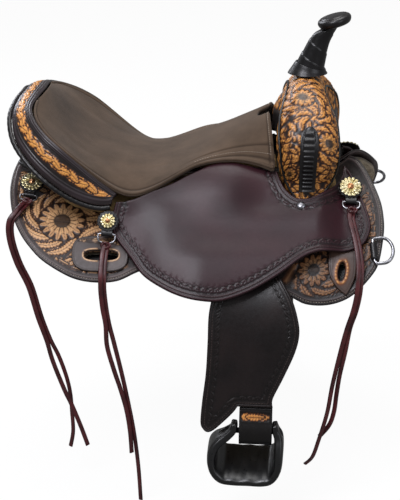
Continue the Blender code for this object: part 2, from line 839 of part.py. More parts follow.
def make_cantle():
    """The wooden cantle, the leather over its back, the tooled roll over its top, and the roll's binding."""
    crest, edge, foot = both_halves(CREST), both_halves(ROLL_EDGE), both_halves(BACK_FOOT)
    up = Vector((0, 0, 1))
    rolls, woods, backs, bindings = [], [], [], []
    for top, rim, base in zip(crest, edge, foot):
        out = (rim - top).normalized()
        belly = top.lerp(rim, 0.5) + up * 5
        under = up * -5
        inner = top - out * 1.2 - up
        far = rim - out * 4.5
        rolls.append([inner, belly, far, far + under, belly + under, inner + under])
        head = top + out * 13 - up * 9
        heel = head + out * 8 - up * 2
        waist = base.lerp(heel, 0.5) - out * 2
        ridge = Vector((base.x + 16, base.y * 0.94, base.z + 4))
        woods.append([head - out * 3, heel, waist, base, ridge, ridge.lerp(head - out * 5, 0.5)])
        away = Vector((out.x, out.y, 0)).normalized()
        rear_face = (heel, waist, base)
        backs.append([p + away * 1.0 for p in rear_face] + [p + away * 4.0 for p in rear_face[::-1]])
        centre = rim + out * 0.5 - up * 2.5
        bindings.append([centre + out * a + up * b for a, b in BINDING_SECTION])
    # The wood and the leather behind it stop short of the roll's pointed ends.
    inner_run, roll_run = slice(4, -4), slice(1, -1)
    for name, rings, run, material, smooth in (
        ("cantle_roll", rolls, roll_run, TOOLED, 50),
        ("tree_cantle", woods, inner_run, WOOD, 50),
        ("cantle_back", backs, inner_run, BLACK, 50),
        ("cantle_binding", bindings, roll_run, BLACK, 60),
    ):
        loft(name, [[p * MM for p in ring] for ring in rings[run]], material, smooth=smooth)


def make_jockeys():
    """The large smooth panel under the rider's thigh, with a cut-out round the swell, and the small rear one."""
    loop = outline_of(
        [
            [
                (-119, 143), (-123, 158), (-122, 179), (-93, 214), (-69, 243), (-36, 263), (-4, 275), (27, 280),
                (58, 279), (99, 266), (140, 245), (176, 222), (200, 213), (226, 210), (255, 207), (274, 197),
                (283, 172), (276, 140), (267, 114), (259, 92), (250, 70), (239, 50),
            ],
            [(239, 50), (236, 76), (227, 98), (214, 116), (198, 127), (182, 131), (163, 128), (145, 113), (133, 90)],
            [(133, 90), (100, 84), (40, 84), (0, 98), (-30, 112), (-60, 125), (-92, 138), (-119, 143)],
        ],
        19,
    )
    both_sides(leather_on_back("seat_jockey", loop, [], jockey_lift, JOCKEY_THICK, SMOOTH, 26))
    rear = outline_of(
        [
            [
                (-150, 26), (-220, 24), (-284, 24), (-297, 36), (-296, 50), (-284, 61), (-258, 72), (-222, 86),
                (-185, 100), (-150, 110),
            ],
            [(-150, 110), (-140, 84), (-140, 54), (-150, 26)],
        ],
        22,
    )
    both_sides(leather_on_back("rear_jockey", rear, [], rear_jockey_lift, JOCKEY_THICK, BLACK, 28))


# Fender and stirrup leather. They lie on a surface turned about the pivot's axis,
# so they swing in their own surface between the skirt and the jockey.

DOWN = Vector((0, -math.sin(FENDER_LEAN), -math.cos(FENDER_LEAN)))
OUT = Vector((0, -math.cos(FENDER_LEAN), math.sin(FENDER_LEAN)))
dish = through((0, 26, 47, 76, 103, 131, 160, 195, 240), (10, 16, 28, 55, 73, 90, 101, 107, 108))
STRAP_CENTRE = 11.0
STRAP_THICK = 3.6
KEEPER_TOP = 307.5
KEEPER_HALF = 25.5
FENDER_LIFT = 6.4


def on_fender(u, v, lift):
    """A point of the fender: u forward of the pivot, v down from it."""
    away = dish(math.hypot(u, v)) + lift
    return Vector(PIVOT) + Vector((u, 0, 0)) + DOWN * v + OUT * away


def fender_piece(name, loop, lift, thick, material, step):
    flat, faces = fill(loop, [], step)
    points = [on_fender(u, v, lift) * MM for u, v in flat]
    mesh = mesh_of(name, points, faces, outward=False)
    if sum(p.normal.y * p.area for p in mesh.polygons) > 0:
        mesh.flip_normals()
    obj = new_object(name, mesh, material)
    solid = obj.modifiers.new("thickness", "SOLIDIFY")
    solid.thickness = thick * MM
    solid.offset = 1.0
    return obj


def make_fenders():
    loop = outline_of(
        [
            [
                (-30, 82), (-44, 102), (-58, 128), (-65, 160), (-66, 205), (-68, 254), (-73, 300), (-75, 333),
                (-71, 344), (-64, 349), (-54, 345), (-37, 329), (-24, 315), (-17.5, 305.5),
            ],
            [(-17.5, 305.5), (37, 305.5)],
            [
                (37, 305.5), (37, 291), (52, 258), (69, 217), (75, 188), (72, 164), (63, 137), (48, 112), (34, 92),
                (20, 78),
            ],
            [(20, 78), (-4, 72), (-30, 82)],
        ],
        17,
    )
    both_sides(fender_piece("fender", loop, FENDER_LIFT, FENDER_THICK, BLACK, 22))
    strap = outline_of(
        [
            [(-28, 10), (-30, 60), (-30, 180), (-14, KEEPER_TOP - 1)],
            [(-14, KEEPER_TOP - 1), (36, KEEPER_TOP - 1)],
            [(36, KEEPER_TOP - 1), (30, 180), (26, 60), (24, 10)],
            [(24, 10), (-2, -4), (-28, 10)],
        ],
        22,
    )
    both_sides(fender_piece("stirrup_leather", strap, 0.2, STRAP_THICK, BLACK, 22))


def make_keepers():
    """The leather loop that closes round the stirrup's bolt, below the fender."""
    top = on_fender(STRAP_CENTRE, KEEPER_TOP, 4.5)
    bolt = on_fender(STRAP_CENTRE, BOLT_DROP, 4.5)
    half_section = [(5.4, 0.0), (7.2, 12.0), (12.6, 33.0), (11.6, 49.0), (6.5, 57.0)]
    section = [(-o, d) for o, d in half_section] + [(0.0, 58.8)] + half_section[::-1]
    rings = []
    for x in (-KEEPER_HALF, KEEPER_HALF):
        rings.append([(top + Vector((x, 0, 0)) + DOWN * d + OUT * o) * MM for o, d in section])
    loop = loft("stirrup_keeper", rings, BLACK, smooth=50)
    hole = ((BOLT_RADIUS + GAP, -40), (BOLT_RADIUS + GAP, 40))
    both_sides(bored(loop, cutter(loft("bolt_bore", turned(hole, bolt, Vector((1, 0, 0)), 12), STEEL))))
    return bolt


BOLT_HEAD = 6.6
BOLT_LEFT = -38.0
BOLT_RIGHT = 34.0

# Round the stirrup from one eye to the other: x and drop from the bolt, half depth, thickness, outward slope.
STIRRUP_KNOTS = (
    (-33, -13, 11, 9, 0), (-35, -3, 13, 12, 0), (-45, 7, 17, 14, 0), (-60, 18, 24, 14, 3), (-67, 32, 31, 14, 8),
    (-65, 47, 37, 14, 14), (-53, 58, 40, 14, 18), (-34, 61, 41, 13, 18), (-10, 61, 41, 13, 18),
    (12, 61, 41, 13, 18), (26, 57, 40, 14, 18), (35, 47, 37, 14, 14), (37, 32, 31, 14, 8), (37, 18, 24, 14, 3),
    (36, 7, 17, 13, 0), (32, -3, 13, 11, 0), (30, -13, 11, 8, 0),
)


def stirrup_section(centre, out, half_depth, thick, tilt):
    """A rounded strip across the stirrup, at one place round its loop."""
    across = Vector((0, math.cos(tilt), math.sin(tilt)))
    upper = [(-1, 0.4), (-0.9, 1), (0, 1), (0.9, 1), (1, 0.4)]
    lower = [(a, -b) for a, b in reversed(upper)]
    return [(centre + across * (half_depth * a) + out * (thick * 0.5 * b)) * MM for a, b in upper + lower]


def make_stirrups(bolt):
    """A leather-covered stirrup with a deep tread that slopes outwards, open between its eyes."""
    rings = []
    for i, (x, drop, half_depth, thick, slope) in enumerate(STIRRUP_KNOTS):
        before, after = STIRRUP_KNOTS[max(i - 1, 0)], STIRRUP_KNOTS[min(i + 1, len(STIRRUP_KNOTS) - 1)]
        along = Vector((after[0] - before[0], 0, before[1] - after[1])).normalized()
        out = Vector((along.z, 0, -along.x))
        rings.append(stirrup_section(bolt + Vector((x, 0, -drop)), out, half_depth, thick, math.radians(slope)))
    stirrup = loft("stirrup", rings, BLACK, smooth=50)
    wide = BOLT_RADIUS + GAP
    head = BOLT_HEAD + GAP
    left, right = BOLT_LEFT + GAP, BOLT_RIGHT - GAP
    hole = ((head, -80), (head, left), (wide, left), (wide, right), (head, right), (head, 80))
    both_sides(bored(stirrup, cutter(loft("eye_bore", turned(hole, bolt, Vector((1, 0, 0)), 12), STEEL))))


def make_bolts(bolt):
    profile = ((BOLT_HEAD, BOLT_LEFT - 3), (BOLT_HEAD, BOLT_LEFT), (BOLT_RADIUS, BOLT_LEFT))
    profile += ((BOLT_RADIUS, BOLT_RIGHT), (BOLT_HEAD, BOLT_RIGHT), (BOLT_HEAD, BOLT_RIGHT + 3))
    both_sides(loft("stirrup_bolt", turned(profile, bolt, Vector((1, 0, 0)), 12), STEEL))


# Conchos, dees and strings

# Each concho: x, s, petal radius, rosette radius, drop to the dee's bar, tilt outwards in degrees.
SPOTS = {
    "rear": (-265, 98, 18.0, 20.6, 25.0, 14.0),
    "middle": (-129, 168, 12.0, 17.5, 20.0, 0.0),
    "front": (249, 105, 18.0, 20.0, 25.0, 7.0),
}


SPOT_REACH = 18.0


def spot_frame(x, s, lift):
    """Origin, forward, down and outward directions at a place on the right side."""
    here = Vector(on_back(x, s, lift(x, s)))
    ends = [Vector(on_back(x + r, s, lift(x + r, s))) for r in (-SPOT_REACH, SPOT_REACH)]
    ahead = (ends[1] - ends[0]).normalized()
    ends = [Vector(on_back(x, s + r, lift(x, s + r))) for r in (-SPOT_REACH, SPOT_REACH)]
    down = ends[1] - ends[0]
    down = (down - ahead * down.dot(ahead)).normalized()
    out = ahead.cross(down).normalized()
    if out.y > 0:
        out = -out
    return here, ahead, down, out


def tilted(ahead, down, out, degrees):
    """The directions turned about the forward one, so that the face looks more to the side."""
    turn = math.radians(degrees)
    lower = down * math.cos(turn) - out * math.sin(turn)
    return ahead, lower, out * math.cos(turn) + down * math.sin(turn)


def spot_lift(name):
    """The lift of the leather's outer face under a concho."""
    if name == "rear":
        return lambda x, s: SKIRT_INSIDE + SKIRT_THICK
    return lambda x, s: jockey_lift(x, s) + JOCKEY_THICK


CONCHO_STAND = 3.6


def make_concho(name):
    """A metal daisy on a scalloped leather rosette, raised on a stem that leaves room for the dee's bar."""
    x, s, petal, rosette, _, tilt = SPOTS[name]
    here, ahead, down, out = spot_frame(x, s, spot_lift(name))
    stand = CONCHO_STAND + rosette * math.sin(math.radians(tilt))
    here += out * stand
    ahead, down, out = tilted(ahead, down, out, tilt)
    rings = []
    steps = 18
    profile = (
        (7.0, 0.0, 0.0), (7.0, 4.4, 0.0), (rosette, 4.4, 0.05), (rosette, 6.8, 0.05),
        (petal, 7.0, 0.07), (petal * 0.92, 8.6, 0.07), (petal * 0.34, 8.4, 0.0), (petal * 0.24, 11.0, 0.0),
    )
    for radius, height, lobe in profile:
        ring = []
        for k in range(steps):
            angle = 2 * math.pi * k / steps
            reach = radius * (1 + lobe * math.cos(steps / 2 * angle) - lobe)
            across = ahead * (reach * math.cos(angle)) + down * (reach * math.sin(angle))
            ring.append((here + across + out * height) * MM)
        rings.append(ring)
    both_sides(loft("concho_" + name, rings, GOLD, smooth=35))


DEE_HALF = 13.5
DEE_DEEP = 15.0
DEE_WIRE = 1.5


def dee_route(here, ahead, down, half, deep, corner):
    """A closed D: a straight bar with a bow below it."""
    route = [(-half + corner, 0), (half - corner, 0), (half, corner)]
    for k in range(7):
        angle = math.pi * k / 6
        route.append((half * math.cos(angle), deep * 0.45 + (deep * 0.55) * math.sin(angle)))
    route.append((-half, corner))
    return [tuple(here + ahead * a + down * b) for a, b in route]


def make_string_dee(name):
    x, s, _, _, drop, _ = SPOTS[name]
    here, ahead, down, out = spot_frame(x, s, spot_lift(name))
    bar = here + down * drop + out * (DEE_WIRE + 4.1)
    route = dee_route(bar, ahead, down, DEE_HALF, DEE_DEEP, 3.0)
    both_sides(wire("string_dee_" + name, route, DEE_WIRE, NICKEL, True, 1))
    return bar, ahead, down, out


# Each pair of strings, on the right side: the way that both strands share, then each strand's own way down.
# The first place of the shared way is worked out from the dee.
STRING_WAYS = {
    "rear": (
        [(-270, -159.5, 2), (-277.5, -174.5, -5), (-286, -184, -18), (-286, -186, -46), (-276, -185, -86),
         (-259, -184, -127), (-246, -183, -180)],
        [(-236, -182, -222), (-227, -183, -258), (-210, -184, -307), (-198, -184, -336), (-184, -183, -376),
         (-173, -183, -411)],
        [(-230, -179, -222), (-218, -178, -250), (-207, -177, -286), (-201, -177, -318), (-199, -178, -352),
         (-198, -179, -388), (-203, -180, -416)],
    ),
    "middle": (
        [(-131, -222, -53), (-131.5, -235, -69), (-131, -246, -86), (-130.5, -250, -104), (-128, -251, -132),
         (-124, -251, -160)],
        [(-125, -252, -196), (-115, -253, -236), (-105, -253, -270), (-96, -253, -307), (-91, -253, -345),
         (-89, -253, -383)],
        [(-114, -250, -192), (-103, -249, -245), (-93, -249, -299), (-85, -249, -350), (-79, -249, -411),
         (-76, -249, -472)],
    ),
    "front": (
        [(252, -157, -4), (256, -171, -16), (261, -185, -30), (265, -199, -46), (267.5, -213, -65),
         (267, -226, -86), (265, -232, -107), (260, -234, -132), (252, -234, -160)],
        [(241, -235, -203), (231, -236, -257), (224, -236, -307), (212, -236, -356), (203, -236, -386),
         (191, -236, -400)],
        [(249, -232, -200), (242, -231, -240), (238, -230, -275), (235, -229, -307), (228, -228, -332),
         (213, -228, -353)],
    ),
}
STRAND_ASIDE = 2.5
STRAND_APART = 2.0
STRAND_TWIST = {"a": math.radians(38), "b": math.radians(-30)}


def flat_ring(centre, across, out):
    """A flat thong's section with rounded edges."""
    half, thick = STRING_HALF, STRING_THICK / 2
    section = ((-1, 0.4), (-0.86, 1), (0.86, 1), (1, 0.4), (1, -0.4), (0.86, -1), (-0.86, -1), (-1, -0.4))
    return [(centre + across * (half * a) + out * (thick * b)) * MM for a, b in section]


def make_string(name, strand, dee):
    """One flat leather string that hangs from the bow of a dee, over the leathers and down the side."""
    bar, ahead, down, out = dee
    shared, own_a, own_b = STRING_WAYS[name]
    sense = 1 if strand == "a" else -1
    start = bar + down * (DEE_DEEP + DEE_WIRE + 3 * GAP)
    places = [start] + [Vector(place) for place in shared]
    places = [place + Vector((-sense * STRAND_ASIDE, 0, 0)) for place in places]
    places += [Vector(place) for place in (own_a if strand == "a" else own_b)]
    last = len(places) - 1
    rings = []
    for i, place in enumerate(places):
        along = (places[min(i + 1, last)] - places[max(i - 1, 0)]).normalized()
        face = out.lerp(Vector((0, -1, 0)), min(i / 5, 1.0))
        across = along.cross(face).normalized()
        face = across.cross(along)
        turn = STRAND_TWIST[strand] * ease(i, 4, last)
        turned_across = across * math.cos(turn) + face * math.sin(turn)
        face = face * math.cos(turn) - across * math.sin(turn)
        if i <= len(shared):
            place = place + face * (sense * STRAND_APART)
        rings.append(flat_ring(place, turned_across, face))
    return loft("string_" + name + "_" + strand, rings, STRING)


BREAST_SPOT = (288, 212)
BREAST_WIRE = 2.6


def make_breast_dee():
    """The breast collar dees at the front of the skirts, in folded leather keepers."""
    x, s = BREAST_SPOT
    here, ahead, down, out = spot_frame(x, s, lambda x, s: SKIRT_INSIDE + SKIRT_THICK + 6.4)
    rings = []
    for radius, sense in ((5.4, 1), (BREAST_WIRE + GAP, -1)):
        for d in (-13.5 * sense, 13.5 * sense):
            rings.append([p * MM for p in circle_ring(here + down * d, radius, radius, ahead, out, 14)])
    both_sides(loft("breast_dee_keeper", rings, SMOOTH, closed=True))
    both_sides(wire("breast_dee", dee_route(here, -down, ahead, 21.0, 30.0, 5.0), BREAST_WIRE, NICKEL, True, 2))
    return here, down


def joint_at(name, place, pieces, holder=None):
    """An empty on a joint's axis, which carries the pieces that move about it."""
    pivot = bpy.data.objects.new(name, None)
    PARTS.objects.link(pivot)
    pivot.empty_display_size = 30 * MM
    pivot.location = point(*place)
    bpy.context.view_layer.update()
    for piece in pieces:
        piece.parent = pivot
        piece.matrix_parent_inverse = pivot.matrix_world.inverted()
    if holder:
        pivot.parent = holder
        pivot.matrix_parent_inverse = holder.matrix_world.inverted()
    return pivot


def joints_for_side(side, sign, places):
    """The pivots of one side, at places given for the right side."""
    def at(name):
        x, y, z = places[name]
        return (x, sign * y, z)

    def pieces(*names):
        return [bpy.data.objects[name + "_" + side] for name in names]

    swing = joint_at("fender_pivot_" + side, at("fender"), pieces("fender", "stirrup_leather", "stirrup_keeper"))
    joint_at("stirrup_pivot_" + side, at("bolt"), pieces("stirrup", "stirrup_bolt"), swing)
    joint_at("breast_dee_pivot_" + side, at("breast"), pieces("breast_dee"))
    for name in SPOTS:
        joint_at("string_dee_pivot_" + name + "_" + side, at(name), pieces("string_dee_" + name))


def main():
    make_skirts()
    make_plates()
    make_bars()
    make_fork()
    make_swell_cover()
    make_horn()
    make_swell_straps()
    make_seat()
    make_ground_seat()
    make_cantle()
    make_jockeys()
    make_fenders()
    places = {"fender": PIVOT, "bolt": make_keepers()}
    make_stirrups(places["bolt"])
    make_bolts(places["bolt"])
    print("stirrup bolt", tuple(round(v, 1) for v in places["bolt"]))
    for name in SPOTS:
        make_concho(name)
        dee = make_string_dee(name)
        places[name] = dee[0]
        for strand in STRAND_TWIST:
            make_string(name, strand, dee)
        print(name, "dee bar", tuple(round(v, 1) for v in dee[0]), "axis", tuple(round(v, 3) for v in dee[1]))
    places["breast"], down = make_breast_dee()
    print("breast dee", tuple(round(v, 1) for v in places["breast"]), "axis", tuple(round(v, 3) for v in down))
    joints_for_side("right", 1, places)
    joints_for_side("left", -1, places)


main()
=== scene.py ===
import json
import math

import bmesh
import bpy
import numpy as np
from mathutils import Matrix, Vector
from mathutils.geometry import delaunay_2d_cdt

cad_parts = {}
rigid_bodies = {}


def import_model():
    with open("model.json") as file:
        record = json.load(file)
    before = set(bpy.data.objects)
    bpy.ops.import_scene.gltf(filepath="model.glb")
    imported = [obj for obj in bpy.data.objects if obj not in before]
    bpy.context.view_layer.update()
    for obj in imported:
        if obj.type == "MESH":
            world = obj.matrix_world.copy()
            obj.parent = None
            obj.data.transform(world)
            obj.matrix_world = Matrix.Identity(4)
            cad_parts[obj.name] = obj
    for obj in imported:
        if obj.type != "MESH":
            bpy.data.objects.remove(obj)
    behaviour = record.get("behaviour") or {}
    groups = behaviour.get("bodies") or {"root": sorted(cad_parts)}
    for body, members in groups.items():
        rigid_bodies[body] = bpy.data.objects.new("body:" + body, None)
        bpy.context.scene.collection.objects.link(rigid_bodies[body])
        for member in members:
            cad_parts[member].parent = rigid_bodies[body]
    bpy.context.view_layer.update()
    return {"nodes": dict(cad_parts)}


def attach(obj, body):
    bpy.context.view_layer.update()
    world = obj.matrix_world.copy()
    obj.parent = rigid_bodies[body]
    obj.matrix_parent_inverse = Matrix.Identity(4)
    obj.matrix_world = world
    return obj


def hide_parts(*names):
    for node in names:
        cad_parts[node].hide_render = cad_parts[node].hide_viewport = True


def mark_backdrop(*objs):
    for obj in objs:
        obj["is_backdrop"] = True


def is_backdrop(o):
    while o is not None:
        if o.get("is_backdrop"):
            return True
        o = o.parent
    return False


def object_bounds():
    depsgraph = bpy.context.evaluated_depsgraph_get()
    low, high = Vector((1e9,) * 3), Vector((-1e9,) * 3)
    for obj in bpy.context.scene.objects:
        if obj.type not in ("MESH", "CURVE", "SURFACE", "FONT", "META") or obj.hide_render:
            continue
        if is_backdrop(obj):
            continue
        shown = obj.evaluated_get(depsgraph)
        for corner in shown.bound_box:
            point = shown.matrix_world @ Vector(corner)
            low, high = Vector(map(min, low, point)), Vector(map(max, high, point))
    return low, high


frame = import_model()
print("frame:", len(frame["nodes"]), "solids")

# %% [markdown]
# A western trail saddle is a pile of leather sheets on a wooden tree.
# In Blender such a sheet could be a flat plane that is bent and thickened, or a sculpt.
# Here each sheet is drawn flat, in real millimetres, and a formula lays it on the horse.
# One formula for all the sheets keeps them a constant gap apart, however they curve.

# %% The camera
MM = 0.001
CAMERA_AZIMUTH = math.radians(5.0)
CAMERA_HEIGHT_ANGLE = math.radians(20.5)
CAMERA_DISTANCE = 2.4
CAMERA_TARGET = Vector((0, 0, -0.124))
SENSOR_MM = 36.0
FOCAL_MM = 100.465


def in_scene(name, data):
    """A new object in the scene, made of some data."""
    obj = bpy.data.objects.new(name, data)
    bpy.context.scene.collection.objects.link(obj)
    return obj


lens = bpy.data.cameras.new("camera")
lens.sensor_fit, lens.sensor_height, lens.lens = "VERTICAL", SENSOR_MM, FOCAL_MM
camera = in_scene("camera", lens)
level = math.cos(CAMERA_HEIGHT_ANGLE)
toward_camera = Vector(
    (math.sin(CAMERA_AZIMUTH) * level, -math.cos(CAMERA_AZIMUTH) * level, math.sin(CAMERA_HEIGHT_ANGLE))
)
camera.location = CAMERA_TARGET + toward_camera * CAMERA_DISTANCE
camera.rotation_euler = (-toward_camera).to_track_quat("-Z", "Y").to_euler()
bpy.context.scene.camera = camera
bpy.context.scene.view_settings.view_transform = "Standard"
print("camera at", [round(v, 3) for v in camera.location])

# %% [markdown]
# Every finish is a small tree of shader nodes.
# One helper adds a node with its settings and links, so each finish reads as a short recipe.
# Colours are written as the hex values that a painter would pick from the real leather.


# %% Helpers for finishes
def colour(hex_value):
    """A hex sRGB colour as the linear values that Blender mixes."""
    parts = [int(hex_value[i : i + 2], 16) / 255 for i in (1, 3, 5)]
    return (*[p / 12.92 if p <= 0.04045 else ((p + 0.055) / 1.055) ** 2.4 for p in parts], 1.0)


def add(tree, kind, inputs=(), **settings):
    """Adds a node. Inputs are (socket name or number, value or another node's output)."""
    made = tree.nodes.new(kind)
    for key, value in settings.items():
        setattr(made, key, value)
    for key, value in dict(inputs).items():
        if isinstance(value, bpy.types.NodeSocket):
            tree.links.new(value, made.inputs[key])
        else:
            made.inputs[key].default_value = value
    return made


def blank(name):
    material = bpy.data.materials.new(name)
    material.use_nodes = True
    tree = material.node_tree
    return material, tree, tree.nodes["Principled BSDF"]


def layered(tree, base, layers):
    """Lays colours over a base, each where the mesh's points carry its number."""
    for key, layer in layers:
        share = add(tree, "ShaderNodeAttribute", attribute_name=key).outputs["Fac"]
        base = add(tree, "ShaderNodeMix", {0: share, 6: base, 7: layer}, data_type="RGBA").outputs[2]
    return base


def close_finish(tree, shader, base, height, strength, depth_mm, plain):
    """Gives the shader its colour, its fine relief and its plain values."""
    bumps = {"Height": height, "Strength": strength, "Distance": depth_mm * MM}
    tree.links.new(base, shader.inputs["Base Color"])
    tree.links.new(add(tree, "ShaderNodeBump", bumps).outputs["Normal"], shader.inputs["Normal"])
    for key, value in plain.items():
        shader.inputs[key].default_value = value


# %% [markdown]
# Vegetable-tanned leather is dyed, oiled and rubbed. The dye soaks in unevenly, so it is cloudy.
# Cut lines, stamped pits and grooves are darker, partly from the dark dye they hold and partly as painted
# shade, and raised edges are lighter, partly rubbed and partly as a painted highlight.
# A photograph could give that, but here the mesh carries it: each point says how tan, how dark
# and how worn or highlit it is.


# %% Leather finishes
# The colour of the dark layer: edge dye at cut edges, and painted shade in cuts, pits, grooves and round
# carved motifs.
EDGE_DYE_AND_SHADE = "#0b0808"
FLECK_MM = 5.0
GRAIN_MM = 1.6
PORE_DEPTH_MM = 0.3
COAT_ROUGHNESS = 0.34
DYE_SPREAD = {"From Min": 0.35, "From Max": 0.65}
FINE_SPREAD = {"From Min": 0.3, "From Max": 0.7}


def leather(name, deep, light, rough, tooled=(), bump=0.25, coat=0.0, cloud_mm=70.0, shine=0.35):
    """Dyed leather. Tooled gives the hex colours of the carved ground and of the dyed carving: its dye in
    painted shade where the carving is low, and in painted highlight where it is high.
    """
    material, tree, shader = blank(name)
    deep, light = colour(deep), colour(light)
    place = add(tree, "ShaderNodeTexCoord").outputs["Object"]
    clouds = {"Vector": place, "Scale": 1 / (cloud_mm * MM), "Detail": 3.0}
    wide = add(tree, "ShaderNodeTexNoise", clouds).outputs["Fac"]
    cloud = add(tree, "ShaderNodeMapRange", {"Value": wide, **DYE_SPREAD}).outputs["Result"]
    flecks = {"Vector": place, "Scale": 1 / (FLECK_MM * MM), "Detail": 5.0}
    small = add(tree, "ShaderNodeTexNoise", flecks).outputs["Fac"]
    fleck = add(tree, "ShaderNodeMapRange", {"Value": small, **FINE_SPREAD}).outputs["Result"]
    faint = add(tree, "ShaderNodeMath", {0: fleck, 1: 0.25}, operation="MULTIPLY").outputs[0]
    base = add(tree, "ShaderNodeMix", {0: cloud, 6: deep, 7: light}, data_type="RGBA").outputs[2]
    base = add(tree, "ShaderNodeMix", {0: faint, 6: base, 7: deep}, data_type="RGBA").outputs[2]
    if tooled:
        ground, dye_in_painted_shade, dye_in_painted_highlight = (colour(dye) for dye in tooled)
        relief = add(tree, "ShaderNodeAttribute", attribute_name="relief").outputs["Fac"]
        raised = {"Value": relief, "From Min": 0.3, "From Max": 1.0}
        height = add(tree, "ShaderNodeMapRange", raised).outputs["Result"]
        # Painted shade and highlight: the carving's dye runs from the darker tone where it is low to the
        # paler one where it is high.
        dye = add(tree, "ShaderNodeMix", {0: height, 6: dye_in_painted_shade, 7: dye_in_painted_highlight}, data_type="RGBA").outputs[2]
        dye = add(tree, "ShaderNodeMix", {0: faint, 6: dye, 7: dye_in_painted_shade}, data_type="RGBA").outputs[2]
        under = add(tree, "ShaderNodeMix", {0: faint, 6: ground, 7: base}, data_type="RGBA").outputs[2]
        base = layered(tree, base, [("carved", under), ("tan", dye)])
    # Lighter on raised edges, with wear and a painted highlight; darker with edge dye at cut edges and with
    # painted shade in cuts, pits, grooves and round carved motifs.
    base = layered(tree, base, [("worn", light), ("dark", colour(EDGE_DYE_AND_SHADE))])
    dull = {"Value": fleck, "To Min": rough - 0.06, "To Max": rough + 0.1}
    tree.links.new(add(tree, "ShaderNodeMapRange", dull).outputs["Result"], shader.inputs["Roughness"])
    pores = add(tree, "ShaderNodeTexVoronoi", {"Vector": place, "Scale": 1 / (GRAIN_MM * MM)})
    creases = {"Vector": place, "Scale": 1 / (2.5 * GRAIN_MM * MM), "Detail": 6.0}
    crease = add(tree, "ShaderNodeTexNoise", creases).outputs["Fac"]
    both = {0: pores.outputs["Distance"], 1: crease}
    surface = add(tree, "ShaderNodeMath", both, operation="ADD").outputs[0]
    glaze = {"Specular IOR Level": shine, "Coat Weight": coat, "Coat Roughness": COAT_ROUGHNESS}
    close_finish(tree, shader, base, surface, bump, PORE_DEPTH_MM, glaze)
    return material


# Smooth harness leather, waxed: plum brown, with a soft grey shine where it faces the light.
SMOOTH_LEATHER = leather(
    "waxed brown leather", "#240d14", "#32141c", 0.5, coat=0.4, bump=0.05, cloud_mm=90.0, shine=0.15
)
# Saddle leather carved with flowers: nearly black where it is plain, orange where it is dyed by hand.
TOOLED_LEATHER = leather(
    "tooled saddle leather", "#1a1213", "#31262a", 0.38, ("#150d0b", "#8f4a17", "#eaa552"),
    coat=0.35, bump=0.1,
)
# The skirts' leather: a grey-brown margin and a paler, pinker carving.
PALE_TOOLED = leather(
    "pale tooled leather", "#33282a", "#564a49", 0.44, ("#170e0c", "#7c4826", "#e0b07e"), coat=0.12, bump=0.15
)
# Black leather, finished with a pigment and a thin lacquer: an even, low shine.
BLACK_LEATHER = leather("black finished leather", "#09080a", "#171416", 0.34, coat=0.3, cloud_mm=50.0)
# The fender's leather is almost black, with a brown cast.
FENDER_LEATHER = leather(
    "black-brown leather", "#110a0b", "#1e1414", 0.42, coat=0.15, bump=0.15, cloud_mm=60.0
)
# The keeper is the blackest leather, with one carved patch dyed orange.
KEEPER_LEATHER = leather(
    "black leather with a carved patch", "#080606", "#120e0e", 0.42, ("#150d0b", "#8f4a17", "#dd9a50"),
    coat=0.1,
)
# Leather stretched wet over the stirrup and lacquered: glossy, with no grain left to see.
STIRRUP_LEATHER = leather("glossy black leather", "#040405", "#08080b", 0.32, coat=0.5, bump=0.0, shine=0.5)
# Strings are soaked in oil, which makes them wine red and a little shiny.
STRING_LEATHER = leather(
    "oiled string leather", "#2c0e11", "#541f22", 0.36, coat=0.25, bump=0.15, cloud_mm=25.0
)
# The plates round the slots are stiff grey-brown leather, with a tan carved band.
PLATE_LEATHER = leather(
    "grey-brown plate leather", "#3a3130", "#564d4c", 0.42, ("#2a1c17", "#8a5a38", "#e2bd92"),
    coat=0.15, bump=0.15,
)
# The front plate is browner, with a stamped ring round its slot.
LATIGO_LEATHER = leather(
    "brown plate leather", "#33231f", "#4c3830", 0.42, ("#1c110d", "#8a4b1c", "#dfa35c"), coat=0.2, bump=0.15
)

# %% [markdown]
# The fittings are cast or stamped metal with a thin plating, polished and then handled.


# %% Metal finishes
HANDLED_MM = 8.0
SCRATCH_MM = 2.0
SCRATCH_DEPTH_MM = 0.1


def plain_metal(name, low, high, rough):
    """A plated metal part: polished, with faint scratches and dull patches from handling."""
    material, tree, shader = blank(name)
    place = add(tree, "ShaderNodeTexCoord").outputs["Object"]
    handled = {"Vector": place, "Scale": 1 / (HANDLED_MM * MM), "Detail": 4.0}
    blotch = add(tree, "ShaderNodeTexNoise", handled).outputs["Fac"]
    patch = add(tree, "ShaderNodeMapRange", {"Value": blotch, **DYE_SPREAD}).outputs["Result"]
    plate = {0: patch, 6: colour(low), 7: colour(high)}
    base = add(tree, "ShaderNodeMix", plate, data_type="RGBA").outputs[2]
    dull = {"Value": patch, "To Min": rough + 0.12, "To Max": rough}
    tree.links.new(add(tree, "ShaderNodeMapRange", dull).outputs["Result"], shader.inputs["Roughness"])
    scratches = {"Vector": place, "Scale": 1 / (SCRATCH_MM * MM), "Detail": 8.0}
    fine = add(tree, "ShaderNodeTexNoise", scratches).outputs["Fac"]
    close_finish(tree, shader, base, fine, 0.12, SCRATCH_DEPTH_MM, {"Metallic": 1.0})
    return material


# Dees and screws are grey and a little clouded, daisies are pale gold and their bosses copper.
NICKEL = plain_metal("nickel plate", "#7c7c80", "#bcbcc2", 0.24)
GOLD = plain_metal("pale gold plate", "#b3a064", "#f6ecc6", 0.26)
COPPER = plain_metal("copper plate", "#8a5230", "#dba678", 0.28)
STEEL = plain_metal("blued steel", "#3a3a3e", "#6a6a70", 0.34)

# %% [markdown]
# Suede is leather with its flesh side out. Its nap lies one way or the other where a hand has brushed it.


# %% Suede, fleece and thread
# The dark of the napped finishes is painted shade: in the seat's dish, under the seat and in its grooves, and
# at the fleece's edge under the skirt.
NAP_SHADE = "#17100d"
NAP_DEPTH_MM = 0.5


